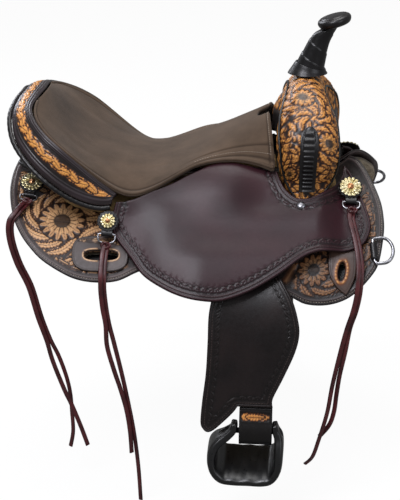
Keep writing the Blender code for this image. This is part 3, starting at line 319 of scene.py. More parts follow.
def napped(name, deep, light, fibre_mm, patch_mm, bump, sheen):
    """A finish with no shine, a fine nap, and patches where it has been brushed the other way."""
    material, tree, shader = blank(name)
    deep, light = colour(deep), colour(light)
    place = add(tree, "ShaderNodeTexCoord").outputs["Object"]
    brushed = {"Vector": place, "Scale": 1 / (patch_mm * MM), "Detail": 5.0, "Roughness": 0.65}
    blotch = add(tree, "ShaderNodeTexNoise", brushed).outputs["Fac"]
    spread = {"Value": blotch, "From Min": 0.34, "From Max": 0.66}
    patch = add(tree, "ShaderNodeMapRange", spread).outputs["Result"]
    fibres = {"Vector": place, "Scale": 1 / (fibre_mm * MM), "Detail": 6.0, "Roughness": 0.7}
    fibre = add(tree, "ShaderNodeTexNoise", fibres).outputs["Fac"]
    nap = add(tree, "ShaderNodeMapRange", {"Value": fibre, **FINE_SPREAD}).outputs["Result"]
    faint = add(tree, "ShaderNodeMath", {0: nap, 1: 0.4}, operation="MULTIPLY").outputs[0]
    base = add(tree, "ShaderNodeMix", {0: patch, 6: deep, 7: light}, data_type="RGBA").outputs[2]
    base = add(tree, "ShaderNodeMix", {0: faint, 6: base, 7: deep}, data_type="RGBA").outputs[2]
    base = layered(tree, base, [("dark", colour(NAP_SHADE)), ("worn", light)])
    matt = {"Roughness": 0.92, "Specular IOR Level": 0.15, "Sheen Weight": sheen, "Sheen Roughness": 0.45}
    close_finish(tree, shader, base, nap, bump, NAP_DEPTH_MM, matt)
    return material


# Brown suede on the seat: matt and cloudy, lighter on the ridges.
SUEDE = napped("brown suede", "#42362c", "#5b4b3e", 1.4, 75.0, 0.25, 0.08)
# Wool pressed into felt: deep soft lumps that give no shine. Thread and rawhide are as matt, but finer.
FLEECE = napped("felted fleece", "#6b5f4c", "#a39680", 3.0, 25.0, 0.9, 0.2)
THREAD = napped("waxed thread", "#8a7d70", "#b9ad9f", 0.8, 10.0, 0.4, 0.1)
DARK_THREAD = napped("dark waxed thread", "#342a28", "#5c504c", 0.8, 10.0, 0.4, 0.1)
RAWHIDE = napped("rawhide", "#7d6544", "#a98d63", 4.0, 40.0, 0.3, 0.0)
print("finishes made:", len(bpy.data.materials))

# %% [markdown]
# The horse's back is the surface that all the panels are laid on.
# A place on it is x along the horse and s, the distance down the side from the spine.
# Smooth curves through a few stations give its height and width, the same stations as in the solids.


# %% The horse's back
def through(stations, values):
    """A smooth function through the values at the stations, level outside them."""
    stations, values = np.array(stations, float), np.array(values, float)
    rise, run = (ends[2:] - ends[:-2] for ends in (np.pad(v, 1, "edge") for v in (values, stations)))
    slopes = rise / run

    def read(at):
        at = np.clip(at, stations[0], stations[-1])
        i = np.clip(np.searchsorted(stations, at, side="left") - 1, 0, len(values) - 2)
        width = stations[i + 1] - stations[i]
        t = (at - stations[i]) / width
        start = (2 * t**3 - 3 * t**2 + 1) * values[i] + (t**3 - 2 * t**2 + t) * width * slopes[i]
        return start + (-2 * t**3 + 3 * t**2) * values[i + 1] + (t**3 - t**2) * width * slopes[i + 1]

    return read


def ease(value, start, end):
    t = np.clip((np.asarray(value, float) - start) / (end - start), 0.0, 1.0)
    return t * t * (3 - 2 * t)


def mix(a, b, t):
    return a + (b - a) * t


def peak(value, width):
    """1 where the value is 0, falling to nothing a few widths away."""
    return np.exp(-((np.asarray(value, float) / width) ** 2))


def unit(v):
    """One vector or many, made of length 1."""
    return v / np.linalg.norm(v, axis=-1, keepdims=True)


def run_along(line):
    """How far along a line each of its points is."""
    return np.concatenate([[0.0], np.cumsum(np.linalg.norm(np.diff(line, axis=0), axis=1))])


def steps_round(count):
    """Even steps round a circle, as angles."""
    return 2 * math.pi * np.arange(count) / count


def ring(centre, across, up, count):
    """Points round a centre. Across and up are the half axes, or a row of them for an uneven ring."""
    angle = steps_round(count)[:, None]
    return centre + np.cos(angle) * across + np.sin(angle) * up


BACK_RADIUS = 275.0
WITHERS_RISE = 34.0
WITHERS_WIDTH = 115.0
STATIONS = (-320, -160, 0, 160, 320)
back_height = through(STATIONS, (22, 6, 0, 8, 30))
back_half_width = through(STATIONS, (300, 290, 278, 265, 252))
back_depth = through(STATIONS, (250, 258, 270, 285, 300))


def withers(x, s):
    return ease(x, 203, 272) * np.maximum(0.0, 1 - s / WITHERS_WIDTH) ** 1.4


def on_back(x, s, lift):
    """Points in millimetres at a lift above the horse's right side."""
    angle = s / BACK_RADIUS
    wide, deep = back_half_width(x), back_depth(x)
    y = -wide * np.sin(angle)
    z = back_height(x) - deep * (1 - np.cos(angle)) + WITHERS_RISE * withers(x, s)
    out_y, out_z = -deep * np.sin(angle), wide * np.cos(angle)
    size = np.hypot(out_y, out_z)
    return np.stack([x + 0 * y, y + lift * out_y / size, z + lift * out_z / size], -1)


lift_at_rear = through((100, 120, 137, 160, 185, 215, 300), (72, 66, 54, 36, 24, 18.5, 18.5))
lift_at_seat = through((60, 84, 102, 125, 141, 180, 220, 260, 300), (76, 73, 68, 58, 51, 40, 31, 25, 22))
lift_at_front = through((20, 60, 107, 140, 175, 210, 300), (30, 27, 23, 21, 19.5, 18.5, 18.5))
WING_DIP = 7.0
SADDLE_RISE = 5.5
FENDER_ROOM = 44.0
PIVOT = np.array((102.0, -128.0, 10.0))


def jockey_lift(x, s):
    """The lift of the seat jockey's inner face, with room for the fender to swing under it."""
    lift = mix(lift_at_rear(s), lift_at_seat(s), ease(x, -120, -30))
    near_seat = 1 - ease(s, 120, 170)
    lift = lift - WING_DIP * ease(x, 60, 120) * near_seat
    lift = lift + SADDLE_RISE * peak(x - 45, 50) * near_seat
    lift = mix(lift, lift_at_front(s), ease(x, 200, 244))
    away = x - PIVOT[0]
    room = ease(s, 150, 225) * (1 - np.where(away < 0, ease(-away, 74, 180), ease(away, 78, 150)))
    return lift + room * np.maximum(0.0, FENDER_ROOM - lift)


def bar_swell(x, s):
    along = 1 - ease(np.abs(x), 120, 235)
    across = np.maximum(0.0, 1 - ((s - 84) / 60) ** 2)
    return 4 + 15 * (0.25 + 0.75 * along) * across


SKIRT_INSIDE = 9.4
SKIRT_THICK = 4.6
STACK_GAP = 1.0
JOCKEY_THICK = 3.6


def rear_jockey_lift(x, s):
    return SKIRT_INSIDE + SKIRT_THICK + 2.0 + bar_swell(x, s) + 3 * (1 - ease(s, 90, 120))


# %% [markdown]
# A saddle's sheets are cut along smooth curves that meet at a few corners.
# An outline here is a handful of given points, with a smooth curve through them.
# To fill it, points are strewn inside and joined by a Delaunay net, finer where the leather is carved.
# Rows of points that follow the edge let a border be pressed in cleanly.


# %% Flat outlines
def bent(rows, i, t):
    """The smooth curve through all the rows, at t of the way from one row to the next."""
    before, start, end, after = (rows[min(max(i + k, 0), len(rows) - 1)] for k in (-1, 0, 1, 2))
    bend = (2 * before - 5 * start + 4 * end - after) * t**2
    return 0.5 * (2 * start + (end - before) * t + bend + (3 * start - before - 3 * end + after) * t**3)


def curve_through(points, step):
    """Points about a step apart on a smooth open curve through the given ones."""
    knots = np.array(points, float)
    found = []
    for i, size in enumerate(np.linalg.norm(np.diff(knots, axis=0), axis=1)):
        count = max(1, round(size / step))
        found.append(bent(knots, i, (np.arange(count) / count)[:, None]))
    return np.vstack(found + [knots[-1:]])


def outline_of(runs, step=2.0):
    return np.vstack([curve_through(run, step)[:-1] for run in runs])


def oval(centre, half_x, half_s, turn=0.0, power=2.0, count=90):
    c, s = np.cos(steps_round(count)), np.sin(steps_round(count))
    a = half_x * np.sign(c) * np.abs(c) ** (2 / power)
    b = half_s * np.sign(s) * np.abs(s) ** (2 / power)
    x = centre[0] + a * math.cos(turn) - b * math.sin(turn)
    return np.stack([x, centre[1] + a * math.sin(turn) + b * math.cos(turn)], 1)


def parted(points, other):
    """Splits the points, so that a table against the other ones stays small."""
    return np.array_split(points, max(1, len(points) * len(other) // 1_500_000 + 1))


def near_line(points, line, closed=True):
    """For each point, its distance from a line and how far round the line that is."""
    ends = np.roll(line, -1, 0) if closed else line[1:]
    starts = line if closed else line[:-1]
    step = ends - starts
    size = np.linalg.norm(step, axis=1)
    so_far = np.cumsum(size) - size
    distances, runs = [], []
    for some in parted(points, line):
        away = some[:, None] - starts[None]
        t = np.clip((away * step).sum(2) / np.maximum(size**2, 1e-9), 0, 1)
        gap = np.linalg.norm(away - t[..., None] * step, axis=2)
        k = gap.argmin(1)
        row = np.arange(len(some))
        distances.append(gap[row, k])
        runs.append(so_far[k] + t[row, k] * size[k])
    return np.concatenate(distances), np.concatenate(runs)


def inside(points, loop):
    ends = np.roll(loop, -1, 0)
    found = []
    for some in parted(points, loop):
        x, y = some[:, :1], some[:, 1:]
        crosses = (loop[:, 1] > y) != (ends[:, 1] > y)
        rise = np.where(crosses, ends[:, 1] - loop[:, 1], 1.0)
        at = loop[:, 0] + (y - loop[:, 1]) * (ends[:, 0] - loop[:, 0]) / rise
        found.append((crosses & (x < at)).sum(1) % 2 == 1)
    return np.concatenate(found)


def inset(loop, distance):
    turns = np.roll(loop, -1, 0)
    along = unit(turns - np.roll(loop, 1, 0))
    sense = np.sign((loop[:, 0] * turns[:, 1] - turns[:, 0] * loop[:, 1]).sum())
    return loop + sense * distance * np.stack([-along[:, 1], along[:, 0]], 1)


def strewn(loop, step):
    """An even grid of points over the outline's box."""
    low, high = loop.min(0), loop.max(0)
    rows = np.arange(low[1], high[1], step * 0.87)
    columns = np.arange(low[0], high[0], step)
    x, y = np.meshgrid(columns, rows)
    x = x + np.where(np.arange(len(rows)) % 2, 0.5 * step, 0.0)[:, None]
    return np.stack([x.ravel(), y.ravel()], 1)


FINE_STEP = 1.6
EDGE_ROW_STEP = 1.25


def filled(loop, holes, border, coarse, fine_zone):
    """Triangles over a flat outline: (points, faces). The fine zone is where carving needs more of them."""
    rings = [loop, *holes]
    extra = []
    for distance in np.arange(1.0, border, EDGE_ROW_STEP):
        row = inset(loop, distance)
        extra.append(row[inside(row, loop) & (near_line(row, loop)[0] > distance - 0.2)])
    spread = strewn(loop, coarse)
    if fine_zone is not None:
        spread = spread[~fine_zone(spread)]
        dense = strewn(loop, FINE_STEP)
        extra.append(dense[fine_zone(dense)])
    extra.append(spread)
    found = []
    for k, some in enumerate(extra):
        some = some[inside(some, loop)]
        if k >= len(extra) - (2 if fine_zone is not None else 1):
            some = some[near_line(some, loop)[0] > border + 0.4]
        for hole in holes:
            some = some[~inside(some, hole)]
            some = some[near_line(some, hole)[0] > 0.7]
        found.append(some)
    flat = np.vstack(rings + found)
    edges, first = [], 0
    for edge_line in rings:
        count = len(edge_line)
        edges += [(first + i, first + (i + 1) % count) for i in range(count)]
        first += count
    made = delaunay_2d_cdt([Vector(p) for p in flat.tolist()], edges, [], 0, 1e-6)
    points = np.array([tuple(p) for p in made[0]])
    faces = np.array(made[2])
    middle = points[faces].mean(1)
    keep = inside(middle, loop)
    for hole in holes:
        keep &= ~inside(middle, hole)
    return points, faces[keep]


# %% [markdown]
# A finished mesh is in metres, and its points carry numbers that the finish reads, such as how dark they are.
# Painted masks could hold those, but they would be pictures. A value on each point follows the form exactly.
# Most pieces come in pairs, so the left one is the mirror image of the right one, with its faces turned back.


# %% Meshes and pieces
def carry(mesh, values):
    for key, numbers in values.items():
        mesh.attributes.new(key, "FLOAT", "POINT").data.foreach_set("value", numbers.astype(np.float32))


def mesh_of(name, points, faces, carried_values=(), flat=None):
    """A mesh from points in millimetres, with the numbers that its points carry."""
    mesh = bpy.data.meshes.new(name)
    mesh.from_pydata((np.asarray(points) * MM).tolist(), [], [list(map(int, f)) for f in faces])
    carry(mesh, dict(carried_values))
    if flat is not None:
        loops = np.empty(len(mesh.loops), np.int32)
        mesh.loops.foreach_get("vertex_index", loops)
        uv = mesh.uv_layers.new(name="flat")
        uv.data.foreach_set("uv", (flat[loops] * MM).astype(np.float32).ravel())
    mesh.shade_smooth()
    return mesh


def outward(mesh):
    """The mesh with all its faces turned outwards."""
    work = bmesh.new()
    work.from_mesh(mesh)
    bmesh.ops.recalc_face_normals(work, faces=work.faces)
    work.to_mesh(mesh)
    work.free()
    return mesh


def joined(name, meshes):
    """One mesh of several."""
    work = bmesh.new()
    for made in meshes:
        work.from_mesh(made)
    mesh = bpy.data.meshes.new(name)
    work.to_mesh(mesh)
    work.free()
    mesh.shade_smooth()
    return mesh


def piece(name, mesh, material, body, replaced=()):
    """Puts a finished mesh in the scene, on its body, in place of the solids that it stands for."""
    obj = in_scene(name, mesh)
    mesh.materials.clear()
    mesh.materials.append(material)
    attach(obj, body)
    if replaced:
        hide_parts(*replaced)
    print(name, "has", len(mesh.polygons), "faces")
    return obj


def other_side(mesh, name):
    """The same mesh on the horse's left side."""
    twin = mesh.copy()
    twin.name = name
    twin.transform(Matrix.Scale(-1, 4, (0, 1, 0)))
    twin.flip_normals()
    return twin


def pair(name, mesh, material, body, node=None):
    """A right piece and its mirror image. A body name with no side is the saddle itself."""
    made = []
    for side, shape in (("right", mesh), ("left", other_side(mesh, name + "_left"))):
        on = body if body == "saddle" else body + "_" + side
        replaced = [node + "_" + side] if node else []
        made.append(piece(f"{name}_{side}", shape, material, on, replaced))
    return made


def open_edges(faces):
    """The edges that only one face has, as that face walks them."""
    a, b = faces.ravel(), np.roll(faces, -1, 1).ravel()
    most = int(faces.max()) + 1
    alone = ~np.isin(b * most + a, a * most + b)
    return list(zip(a[alone], b[alone]))


def sheet_mesh(name, flat, faces, low, high, values, look_out):
    """A closed leather sheet between its inner and outer points."""
    count = len(flat)
    a, b, c = (high[faces[:, k]] for k in range(3))
    if (np.cross(b - a, c - a) @ np.array(look_out)).sum() < 0:
        faces = faces[:, ::-1]
    walls = [(j, i, count + i, count + j) for i, j in open_edges(faces)]
    solid = [tuple(f) for f in faces] + [tuple(count + f[::-1]) for f in faces] + walls
    both = {key: np.concatenate([v, np.zeros(count)]) for key, v in values.items()}
    return mesh_of(name, np.vstack([high, low]), solid, both, np.vstack([flat, flat]))


def rounded_edge(distance, thick):
    """How much lower the outer face is near a cut edge, which the maker has rounded and burnished."""
    t = np.clip(distance / (0.55 * thick), 0, 1)
    return 0.36 * thick * (1 - np.sqrt(t * (2 - t)))


def panel(name, loop, holes, place, thick, relief, border, coarse, fine_zone=None):
    """A leather panel. Relief gives the lift of each place, and the numbers that it carries."""
    flat, faces = filled(loop, holes, border, coarse, fine_zone)
    edge, run = near_line(flat, loop)
    nearest = edge
    for hole in holes:
        nearest = np.minimum(nearest, near_line(flat, hole)[0])
    lift, values = relief(flat, edge, run)
    drop = rounded_edge(nearest, thick)
    values.setdefault("dark", np.zeros(len(flat)))
    values["dark"] = np.maximum(values["dark"], 0.75 * peak(nearest, 0.9))
    high = place(flat[:, 0], flat[:, 1], thick - drop + lift)
    low = place(flat[:, 0], flat[:, 1], 0.12 * drop)
    return sheet_mesh(name, flat, faces, low, high, values, (0, -1, 0.6))


# %% [markdown]
# Floral tooling is cut with a swivel knife and then bevelled down round each flower and leaf.
# It could be a bump in the material, but that vanishes at a low angle and in the exported mesh.
# So each flower, leaf and stem is a formula for height over the flat leather, laid one over the other.


# %% The carver's tools
def bare_leather(at):
    count = len(at)
    return {"at": at, "height": np.zeros(count), "tan": np.zeros(count), "cut": np.zeros(count)}


def lay(field, chosen, cover, height, cut, dye=1.0):
    """Lays a motif over what is there already."""
    for key, value in (("height", height), ("tan", dye)):
        old = field[key][chosen]
        field[key][chosen] = old * (1 - cover) + value * cover
    field["cut"][chosen] = np.maximum(field["cut"][chosen] * (1 - cover), cut)


TROUGH = 1.3


def shaded_trough(field, chosen, depth_inside):
    """The leather round a motif, bevelled down and darkened with a painted shadow, so that the motif stands
    clear of what is under it.
    """
    cover = ease(depth_inside, -TROUGH - 0.6, -TROUGH + 0.4)
    # Painted shadow: a dark ring with little tan round the motif.
    lay(field, chosen, cover, 0.1, 0.55 * cover, 0.15)


def leaf(field, way, width, stem=False, veins=5.0):
    """A leaf, or an even stem, along a smooth way."""
    line = curve_through(way, 1.5)
    at = field["at"]
    low, high = line.min(0) - width - 2, line.max(0) + width + 2
    chosen = np.nonzero(((at > low) & (at < high)).all(1))[0]
    if not len(chosen):
        return
    gap, run = near_line(at[chosen], line, closed=False)
    t = np.clip(run / run_along(line)[-1], 0, 1)
    half = np.full(len(t), width) if stem else width * np.sin(math.pi * t**0.72) ** 0.75
    if not stem:
        half = half * (1 + 0.16 * np.cos(run / veins * 2 * math.pi))
    shaded_trough(field, chosen, half - gap)
    cover = ease(half - gap, -0.5, 0.7)
    rim = peak(gap - half, 0.75) * (half > 0.4)
    height = 1 - 0.45 * np.clip(gap / np.maximum(half, 0.5), 0, 1) ** 2
    groove = np.zeros(len(t))
    if not stem:
        groove = 0.85 * peak(gap, 0.65) * ease(t, 0.02, 0.12)
        fan = np.abs(np.sin((run + 0.8 * gap) / veins * math.pi))
        groove = np.maximum(groove, 0.5 * peak(fan, 0.28) * ease(gap, 0.5, 1.4))
    lay(field, chosen, cover, height - 0.5 * groove, np.maximum(0.9 * rim, 0.75 * groove * cover))


def sunflower(field, centre, radius, petals=13, turn=0.0):
    """Two rings of pointed petals round a cross-hatched seed head."""
    away = field["at"] - np.array(centre)
    reach = np.hypot(away[:, 0], away[:, 1])
    chosen = np.nonzero(reach < radius * 1.15)[0]
    reach = reach[chosen]
    angle = np.arctan2(away[chosen, 1], away[chosen, 0]) + turn
    shaded_trough(field, chosen, radius - reach)
    for share, shift, level in ((1.0, 0.0, 0.8), (0.74, 0.5, 1.05)):
        wedge = np.abs(((angle / (2 * math.pi) * petals + shift) % 1) - 0.5) * 2
        tip = radius * share * (1 - 0.34 * wedge**2.0)
        cover = ease(tip - reach, -0.5, 0.7)
        side = (1 - wedge) * reach * math.pi / petals
        cut = np.maximum(peak(reach - tip, 0.9), peak(side, 0.95))
        fold = 0.55 * peak(wedge * reach * math.pi / petals, 0.5) * (reach > 0.4 * radius * share)
        lay(field, chosen, cover, level - 0.3 * wedge**2 - 0.3 * fold, np.maximum(cut, fold) * (cover > 0.02))
    seed = 0.34 * radius
    head = ease(seed - reach, -0.5, 0.7)
    a, b = away[chosen].T * 2.0
    hatch = np.sin(a + b) * np.sin(a - b)
    cut = 0.95 * peak(reach - seed, 1.1) + 0.45 * head * (hatch < 0)
    lay(field, chosen, head, 0.85 + 0.15 * hatch, cut, 0.1)


def wheel(field, centre, inner, outer, count, turn, sense, width):
    """Leaves that swirl outwards round a flower."""
    for k in range(count):
        start = turn + 2 * math.pi * k / count
        way = []
        for share in (0.0, 0.35, 0.7, 1.0):
            angle = start + sense * 1.15 * share**1.3
            radius = mix(inner, outer, share)
            way.append((centre[0] + radius * math.cos(angle), centre[1] + radius * math.sin(angle)))
        leaf(field, way, width * (1.0 if k % 2 else 0.8))


def vine(field, way, pitch, size, width, first=1):
    """A stem with leaves that curl off to either side."""
    line = curve_through(way, 1.0)
    leaf(field, way, 1.5, stem=True)
    run = run_along(line)
    side = first
    for at in np.arange(0.5 * pitch, run[-1] - 0.2 * pitch, pitch):
        i = min(int(np.searchsorted(run, at)), len(line) - 2)
        along = unit(line[i + 1] - line[i])
        off = np.array((-along[1], along[0])) * side
        base = line[i]
        steps = ((0.0, 0.0), (0.45, 0.4), (0.85, 0.62), (1.1, 0.3), (0.9, 0.05))
        leaf(field, [base + (along * a + off * b) * size for a, b in steps], width, veins=4.0)
        leaf(field, [base, base + (along * 0.5 + off * 0.85) * size * 0.8], width * 0.7, veins=3.4)
        side = -side


def undergrowth(field, low, high, pitch, size, width, curl=0.5):
    """Leaves that fill a box, in rows, turning with a slow swirl so that no two lie quite alike."""
    rows = np.arange(low[1], high[1], pitch * 0.8)
    for row, across in enumerate(rows):
        for k, along in enumerate(np.arange(low[0] + (row % 2) * 0.5 * pitch, high[0], pitch)):
            swirl = 2.3 * math.sin(along / 29 + 0.4 * row) + 1.9 * math.cos(across / 23)
            side = curl if (k + row) % 2 else -curl
            ahead = np.array((math.cos(swirl), math.sin(swirl)))
            off = np.array((-ahead[1], ahead[0])) * side
            base = np.array((along, across))
            steps = ((0.0, 0.0), (0.4, 0.25), (0.8, 0.7), (0.95, 1.25))
            leaf(field, [base + (ahead * a + off * b) * size for a, b in steps], width, veins=3.6)


def carved_values(field, zone, depth=1.3):
    """The lift and the carried numbers of a carved field inside a zone, 1 in it and 0 outside."""
    height = field["height"]
    lift = zone * (depth * height - 0.75 * depth - 0.35 * depth * field["cut"])
    # Dark: the cut lines, and the painted shadow that each trough lays round its motif.
    return lift, {
        "relief": height * zone,
        "tan": np.clip(field["tan"] * (1 - 0.8 * field["cut"]), 0, 1) * zone,
        "carved": zone,
        "dark": 0.6 * field["cut"] * zone,
    }


# %% [markdown]
# The edges of the sheets are bordered: a burnished bead, a line of stitches in a groove, and a row
# of stamps struck side by side. The stamps are pressed into the mesh by their distance round the edge.


# %% Borders
STAMP_PITCH = 11.6


def stamped(edge, run, start, tall=8.5):
    """A row of struck crescents, between two cut lines: (lift, dark, worn)."""
    a = ((run / STAMP_PITCH) % 1 - 0.5) * STAMP_PITCH
    b = edge - start - 0.5 * tall
    within = ease(edge, start - 0.4, start + 0.6) * (1 - ease(edge, start + tall - 0.6, start + tall + 0.4))
    reach = np.hypot(a, b + 1.6)
    petal = peak(reach - 4.2, 0.9) * (b > -2.6)
    seed = peak(np.hypot(a, b + 1.2), 1.3)
    notch = peak(np.abs(a) - 0.5 * STAMP_PITCH, 1.0) * (b < 2.0)
    # The raised crescents are lighter, partly wear and partly a painted highlight, and the pits darker,
    # partly dye and partly painted shade.
    raised = np.clip(petal + seed, 0, 1) * within
    pit = within * np.clip(1 - 1.5 * (petal + seed), 0, 1)
    return 0.8 * raised - 0.8 * pit - 0.4 * notch * within, 0.85 * pit, 0.7 * raised


def stamped_border(flat, edge, run):
    """The seat jockey's and fender's border, from the edge inwards."""
    bead = peak(edge - 2.2, 1.3)
    grooves = peak(edge - 4.6, 0.6) + peak(edge - 8.2, 0.5)
    lift, dark, worn = stamped(edge, run, 9.6)
    scallop = peak(edge - 19.0 - 0.8 * np.cos(run / STAMP_PITCH * 2 * math.pi), 0.55)
    lift = lift + 0.8 * bead - 0.7 * grooves - 0.4 * scallop
    dark = np.clip(dark + 0.8 * grooves + 0.6 * scallop, 0, 0.95)
    return lift, {"dark": dark, "worn": np.clip(worn + 0.6 * bead, 0, 1)}


def plain_border(flat, edge, run):
    """A rolled edge with one groove for stitches."""
    bead, groove = peak(edge - 2.0, 1.2), peak(edge - 4.6, 0.6)
    return 0.5 * bead - 0.4 * groove, {"dark": 0.55 * groove, "worn": 0.4 * bead}


# %% [markdown]
# Stitches repeat along a line, so Geometry Nodes lay them: a line is cut at an even pitch
# and a tiny bead of thread is set at each cut, turned along the line.
# The tree ends in Realize Instances, because an exported model knows no instances.


# %% Stitches along a line
def new_tree(name, **sizes):
    """A Geometry Nodes tree that takes a mesh, named sizes and a material: (tree, what it is given)."""
    tree = bpy.data.node_groups.new(name, "GeometryNodeTree")
    for key, kind in {"Geometry": "Geometry", **sizes, "Material": "Material"}.items():
        tree.interface.new_socket(key, in_out="INPUT", socket_type="NodeSocket" + kind)
    tree.interface.new_socket("Geometry", in_out="OUTPUT", socket_type="NodeSocketGeometry")
    return tree, add(tree, "NodeGroupInput").outputs


def close_tree(tree, given, laid):
    """Ends a tree: the copies are made real and take the material."""
    real = add(tree, "GeometryNodeRealizeInstances", {"Geometry": laid}).outputs[0]
    inked = add(tree, "GeometryNodeSetMaterial", {"Geometry": real, "Material": given["Material"]}).outputs[0]
    add(tree, "NodeGroupOutput", {0: inked})
    return tree


def stitch_tree():
    tree, given = new_tree("stitches along a line", Pitch="Float", Length="Float", Radius="Float")
    line = add(tree, "GeometryNodeMeshToCurve", {"Mesh": given["Geometry"]}).outputs["Curve"]
    even = add(tree, "GeometryNodeResampleCurve", {"Curve": line, "Length": given["Pitch"]}, mode="LENGTH")
    bead = add(tree, "GeometryNodeMeshUVSphere", {"Segments": 6, "Rings": 4, "Radius": 1.0}).outputs["Mesh"]
    half = add(tree, "ShaderNodeMath", {0: given["Length"], 1: 0.5}, operation="MULTIPLY").outputs[0]
    span = {"X": given["Radius"], "Y": given["Radius"], "Z": half}
    size = add(tree, "ShaderNodeCombineXYZ", span).outputs[0]
    tangent = add(tree, "GeometryNodeInputTangent").outputs[0]
    turn = add(tree, "FunctionNodeAlignRotationToVector", {"Vector": tangent}, axis="Z").outputs[0]
    inputs = {"Points": even.outputs[0], "Instance": bead, "Rotation": turn, "Scale": size}
    return close_tree(tree, given, add(tree, "GeometryNodeInstanceOnPoints", inputs).outputs[0])


STITCHES = stitch_tree()
STITCH_PITCH = 4.2
STITCH_LENGTH = 3.0
THREAD_RADIUS = 0.42


def worked(mesh, kind, inputs=(), **settings):
    """The plain mesh that one modifier makes. Inputs are those of a Geometry Nodes tree, by name."""
    guide = in_scene("guide", mesh)
    worker = guide.modifiers.new("worker", kind)
    for key, value in settings.items():
        setattr(worker, key, value)
    for item in worker.node_group.interface.items_tree if inputs else ():
        if item.in_out == "INPUT" and item.name in inputs:
            worker[item.identifier] = inputs[item.name]
    made = bpy.data.meshes.new_from_object(guide.evaluated_get(bpy.context.evaluated_depsgraph_get()))
    bpy.data.objects.remove(guide)
    made.shade_smooth()
    return made


def stitches(ways, material):
    """Stitches along open lines, given in millimetres."""
    points, edges = [], []
    for way in ways:
        first = len(points)
        points += [tuple(p) for p in np.asarray(way) * MM]
        edges += [(first + i, first + i + 1) for i in range(len(way) - 1)]
    lines = bpy.data.meshes.new("lines")
    lines.from_pydata(points, edges, [])
    sizes = {"Pitch": STITCH_PITCH * MM, "Length": STITCH_LENGTH * MM, "Radius": THREAD_RADIUS * MM}
    return worked(lines, "NODES", {**sizes, "Material": material}, node_group=STITCHES)


# %% [markdown]
# Round things are skins over rings: a grid of points, closed round one way.
# The helpers below make a grid finer, give its normals, and turn it into a closed mesh.


# %% Helpers for grids
def denser(grid, times, axis=0):
    """The grid with more rows on smooth curves through its own."""
    rows = np.moveaxis(np.asarray(grid, float), axis, 0)
    found = [bent(rows, i, k / times) for i in range(len(rows) - 1) for k in range(times)]
    return np.moveaxis(np.array(found + [rows[-1]]), 0, axis)


def grid_normals(grid):
    first, second = np.gradient(grid, axis=0), np.gradient(grid, axis=1)
    normal = np.cross(first, second)
    return normal / np.maximum(np.linalg.norm(normal, axis=2), 1e-9)[..., None]


def grid_faces(rows, columns, closed_rows=False, closed_columns=False):
    i = np.arange(rows if closed_rows else rows - 1)[:, None]
    j = np.arange(columns if closed_columns else columns - 1)[None]
    a, b = i * columns + j, i * columns + (j + 1) % columns
    c, d = ((i + 1) % rows) * columns + (j + 1) % columns, ((i + 1) % rows) * columns + j
    return np.stack([a, b, c, d], -1).reshape(-1, 4)


def ring_mesh(name, grid, values=None, closed=False):
    """A closed skin over rings of points, with its ends filled unless it closes on itself."""
    rows, columns = grid.shape[:2]
    faces = [tuple(f) for f in grid_faces(rows, columns, closed, True)]
    points = grid.reshape(-1, 3)
    carried_here = {key: v.ravel() for key, v in (values or {}).items()}
    if not closed:
        ends = np.array([grid[0].mean(0), grid[-1].mean(0)])
        count = len(points)
        points = np.vstack([points, ends])
        carried_here = {key: np.concatenate([v, v[:1], v[-1:]]) for key, v in carried_here.items()}
        for k in range(columns):
            n = (k + 1) % columns
            faces += [(count, n, k), (count + 1, (rows - 1) * columns + k, (rows - 1) * columns + n)]
    return outward(mesh_of(name, points, faces, carried_here))


def cord_grid(way, radius, sides=8, closed=False):
    """Rings round a line, for beads, welts and wires."""
    way = np.asarray(way, float)
    ahead, behind = np.roll(way, -1, 0), np.roll(way, 1, 0)
    if not closed:
        ahead[-1], behind[0] = way[-1], way[0]
    along = unit(ahead - behind)
    face = np.cross(along[0], (0.3, 0.2, 1.0))
    rings = []
    for p, a in zip(way, along):
        face = unit(face - a * (face @ a))
        rings.append(ring(p, radius * face, radius * np.cross(a, face), sides))
    return np.array(rings)


def welt(name, ways, radius, closed=False, sides=8):
    """One mesh of round beads along several lines."""
    grids = [cord_grid(way, radius, sides, closed) for way in ways]
    return joined(name, [ring_mesh(name, grid, None, closed) for grid in grids])


# %% [markdown]
# The saddle strings are flat thongs of oiled leather, cut from one hide and tied through small dees.
# A thong is a limp strap: it leaves its dee, lies over the leathers and hangs straight down.
# Each is swept along one smooth way, turning a little as real thongs do, so the way is its length.

# %% The saddle strings
# Each concho's place, petal length, disc radius, the drop from it to its dee's bar, and its lean in degrees.
SPOTS = {
    "rear": (-265, 98, 18.0, 20.6, 25.0, 14.0),
    "middle": (-129, 168, 12.0, 17.5, 20.0, 0.0),
    "front": (249, 105, 18.0, 20.0, 25.0, 7.0),
}
SPOT_REACH = 18.0
DEE_HALF = 13.5
DEE_DEEP = 15.0
DEE_WIRE = 1.5


def spot_frame(x, s, lift):
    """Origin, forward, down and outward directions at a place on the right side."""
    def at(x, s):
        x, s = np.float64(x), np.float64(s)
        return on_back(x, s, lift(x, s))

    ahead = unit(at(x + SPOT_REACH, s) - at(x - SPOT_REACH, s))
    down = at(x, s + SPOT_REACH) - at(x, s - SPOT_REACH)
    down = unit(down - ahead * (down @ ahead))
    out = unit(np.cross(ahead, down))
    return at(x, s), ahead, down, out if out[1] < 0 else -out


def spot_lift(name):
    if name == "rear":
        return lambda x, s: SKIRT_INSIDE + SKIRT_THICK
    return lambda x, s: jockey_lift(x, s) + JOCKEY_THICK


def dee_frame(name):
    x, s, _, _, drop, _ = SPOTS[name]
    here, ahead, down, out = spot_frame(x, s, spot_lift(name))
    return here + down * drop + out * (DEE_WIRE + 4.1), ahead, down, out


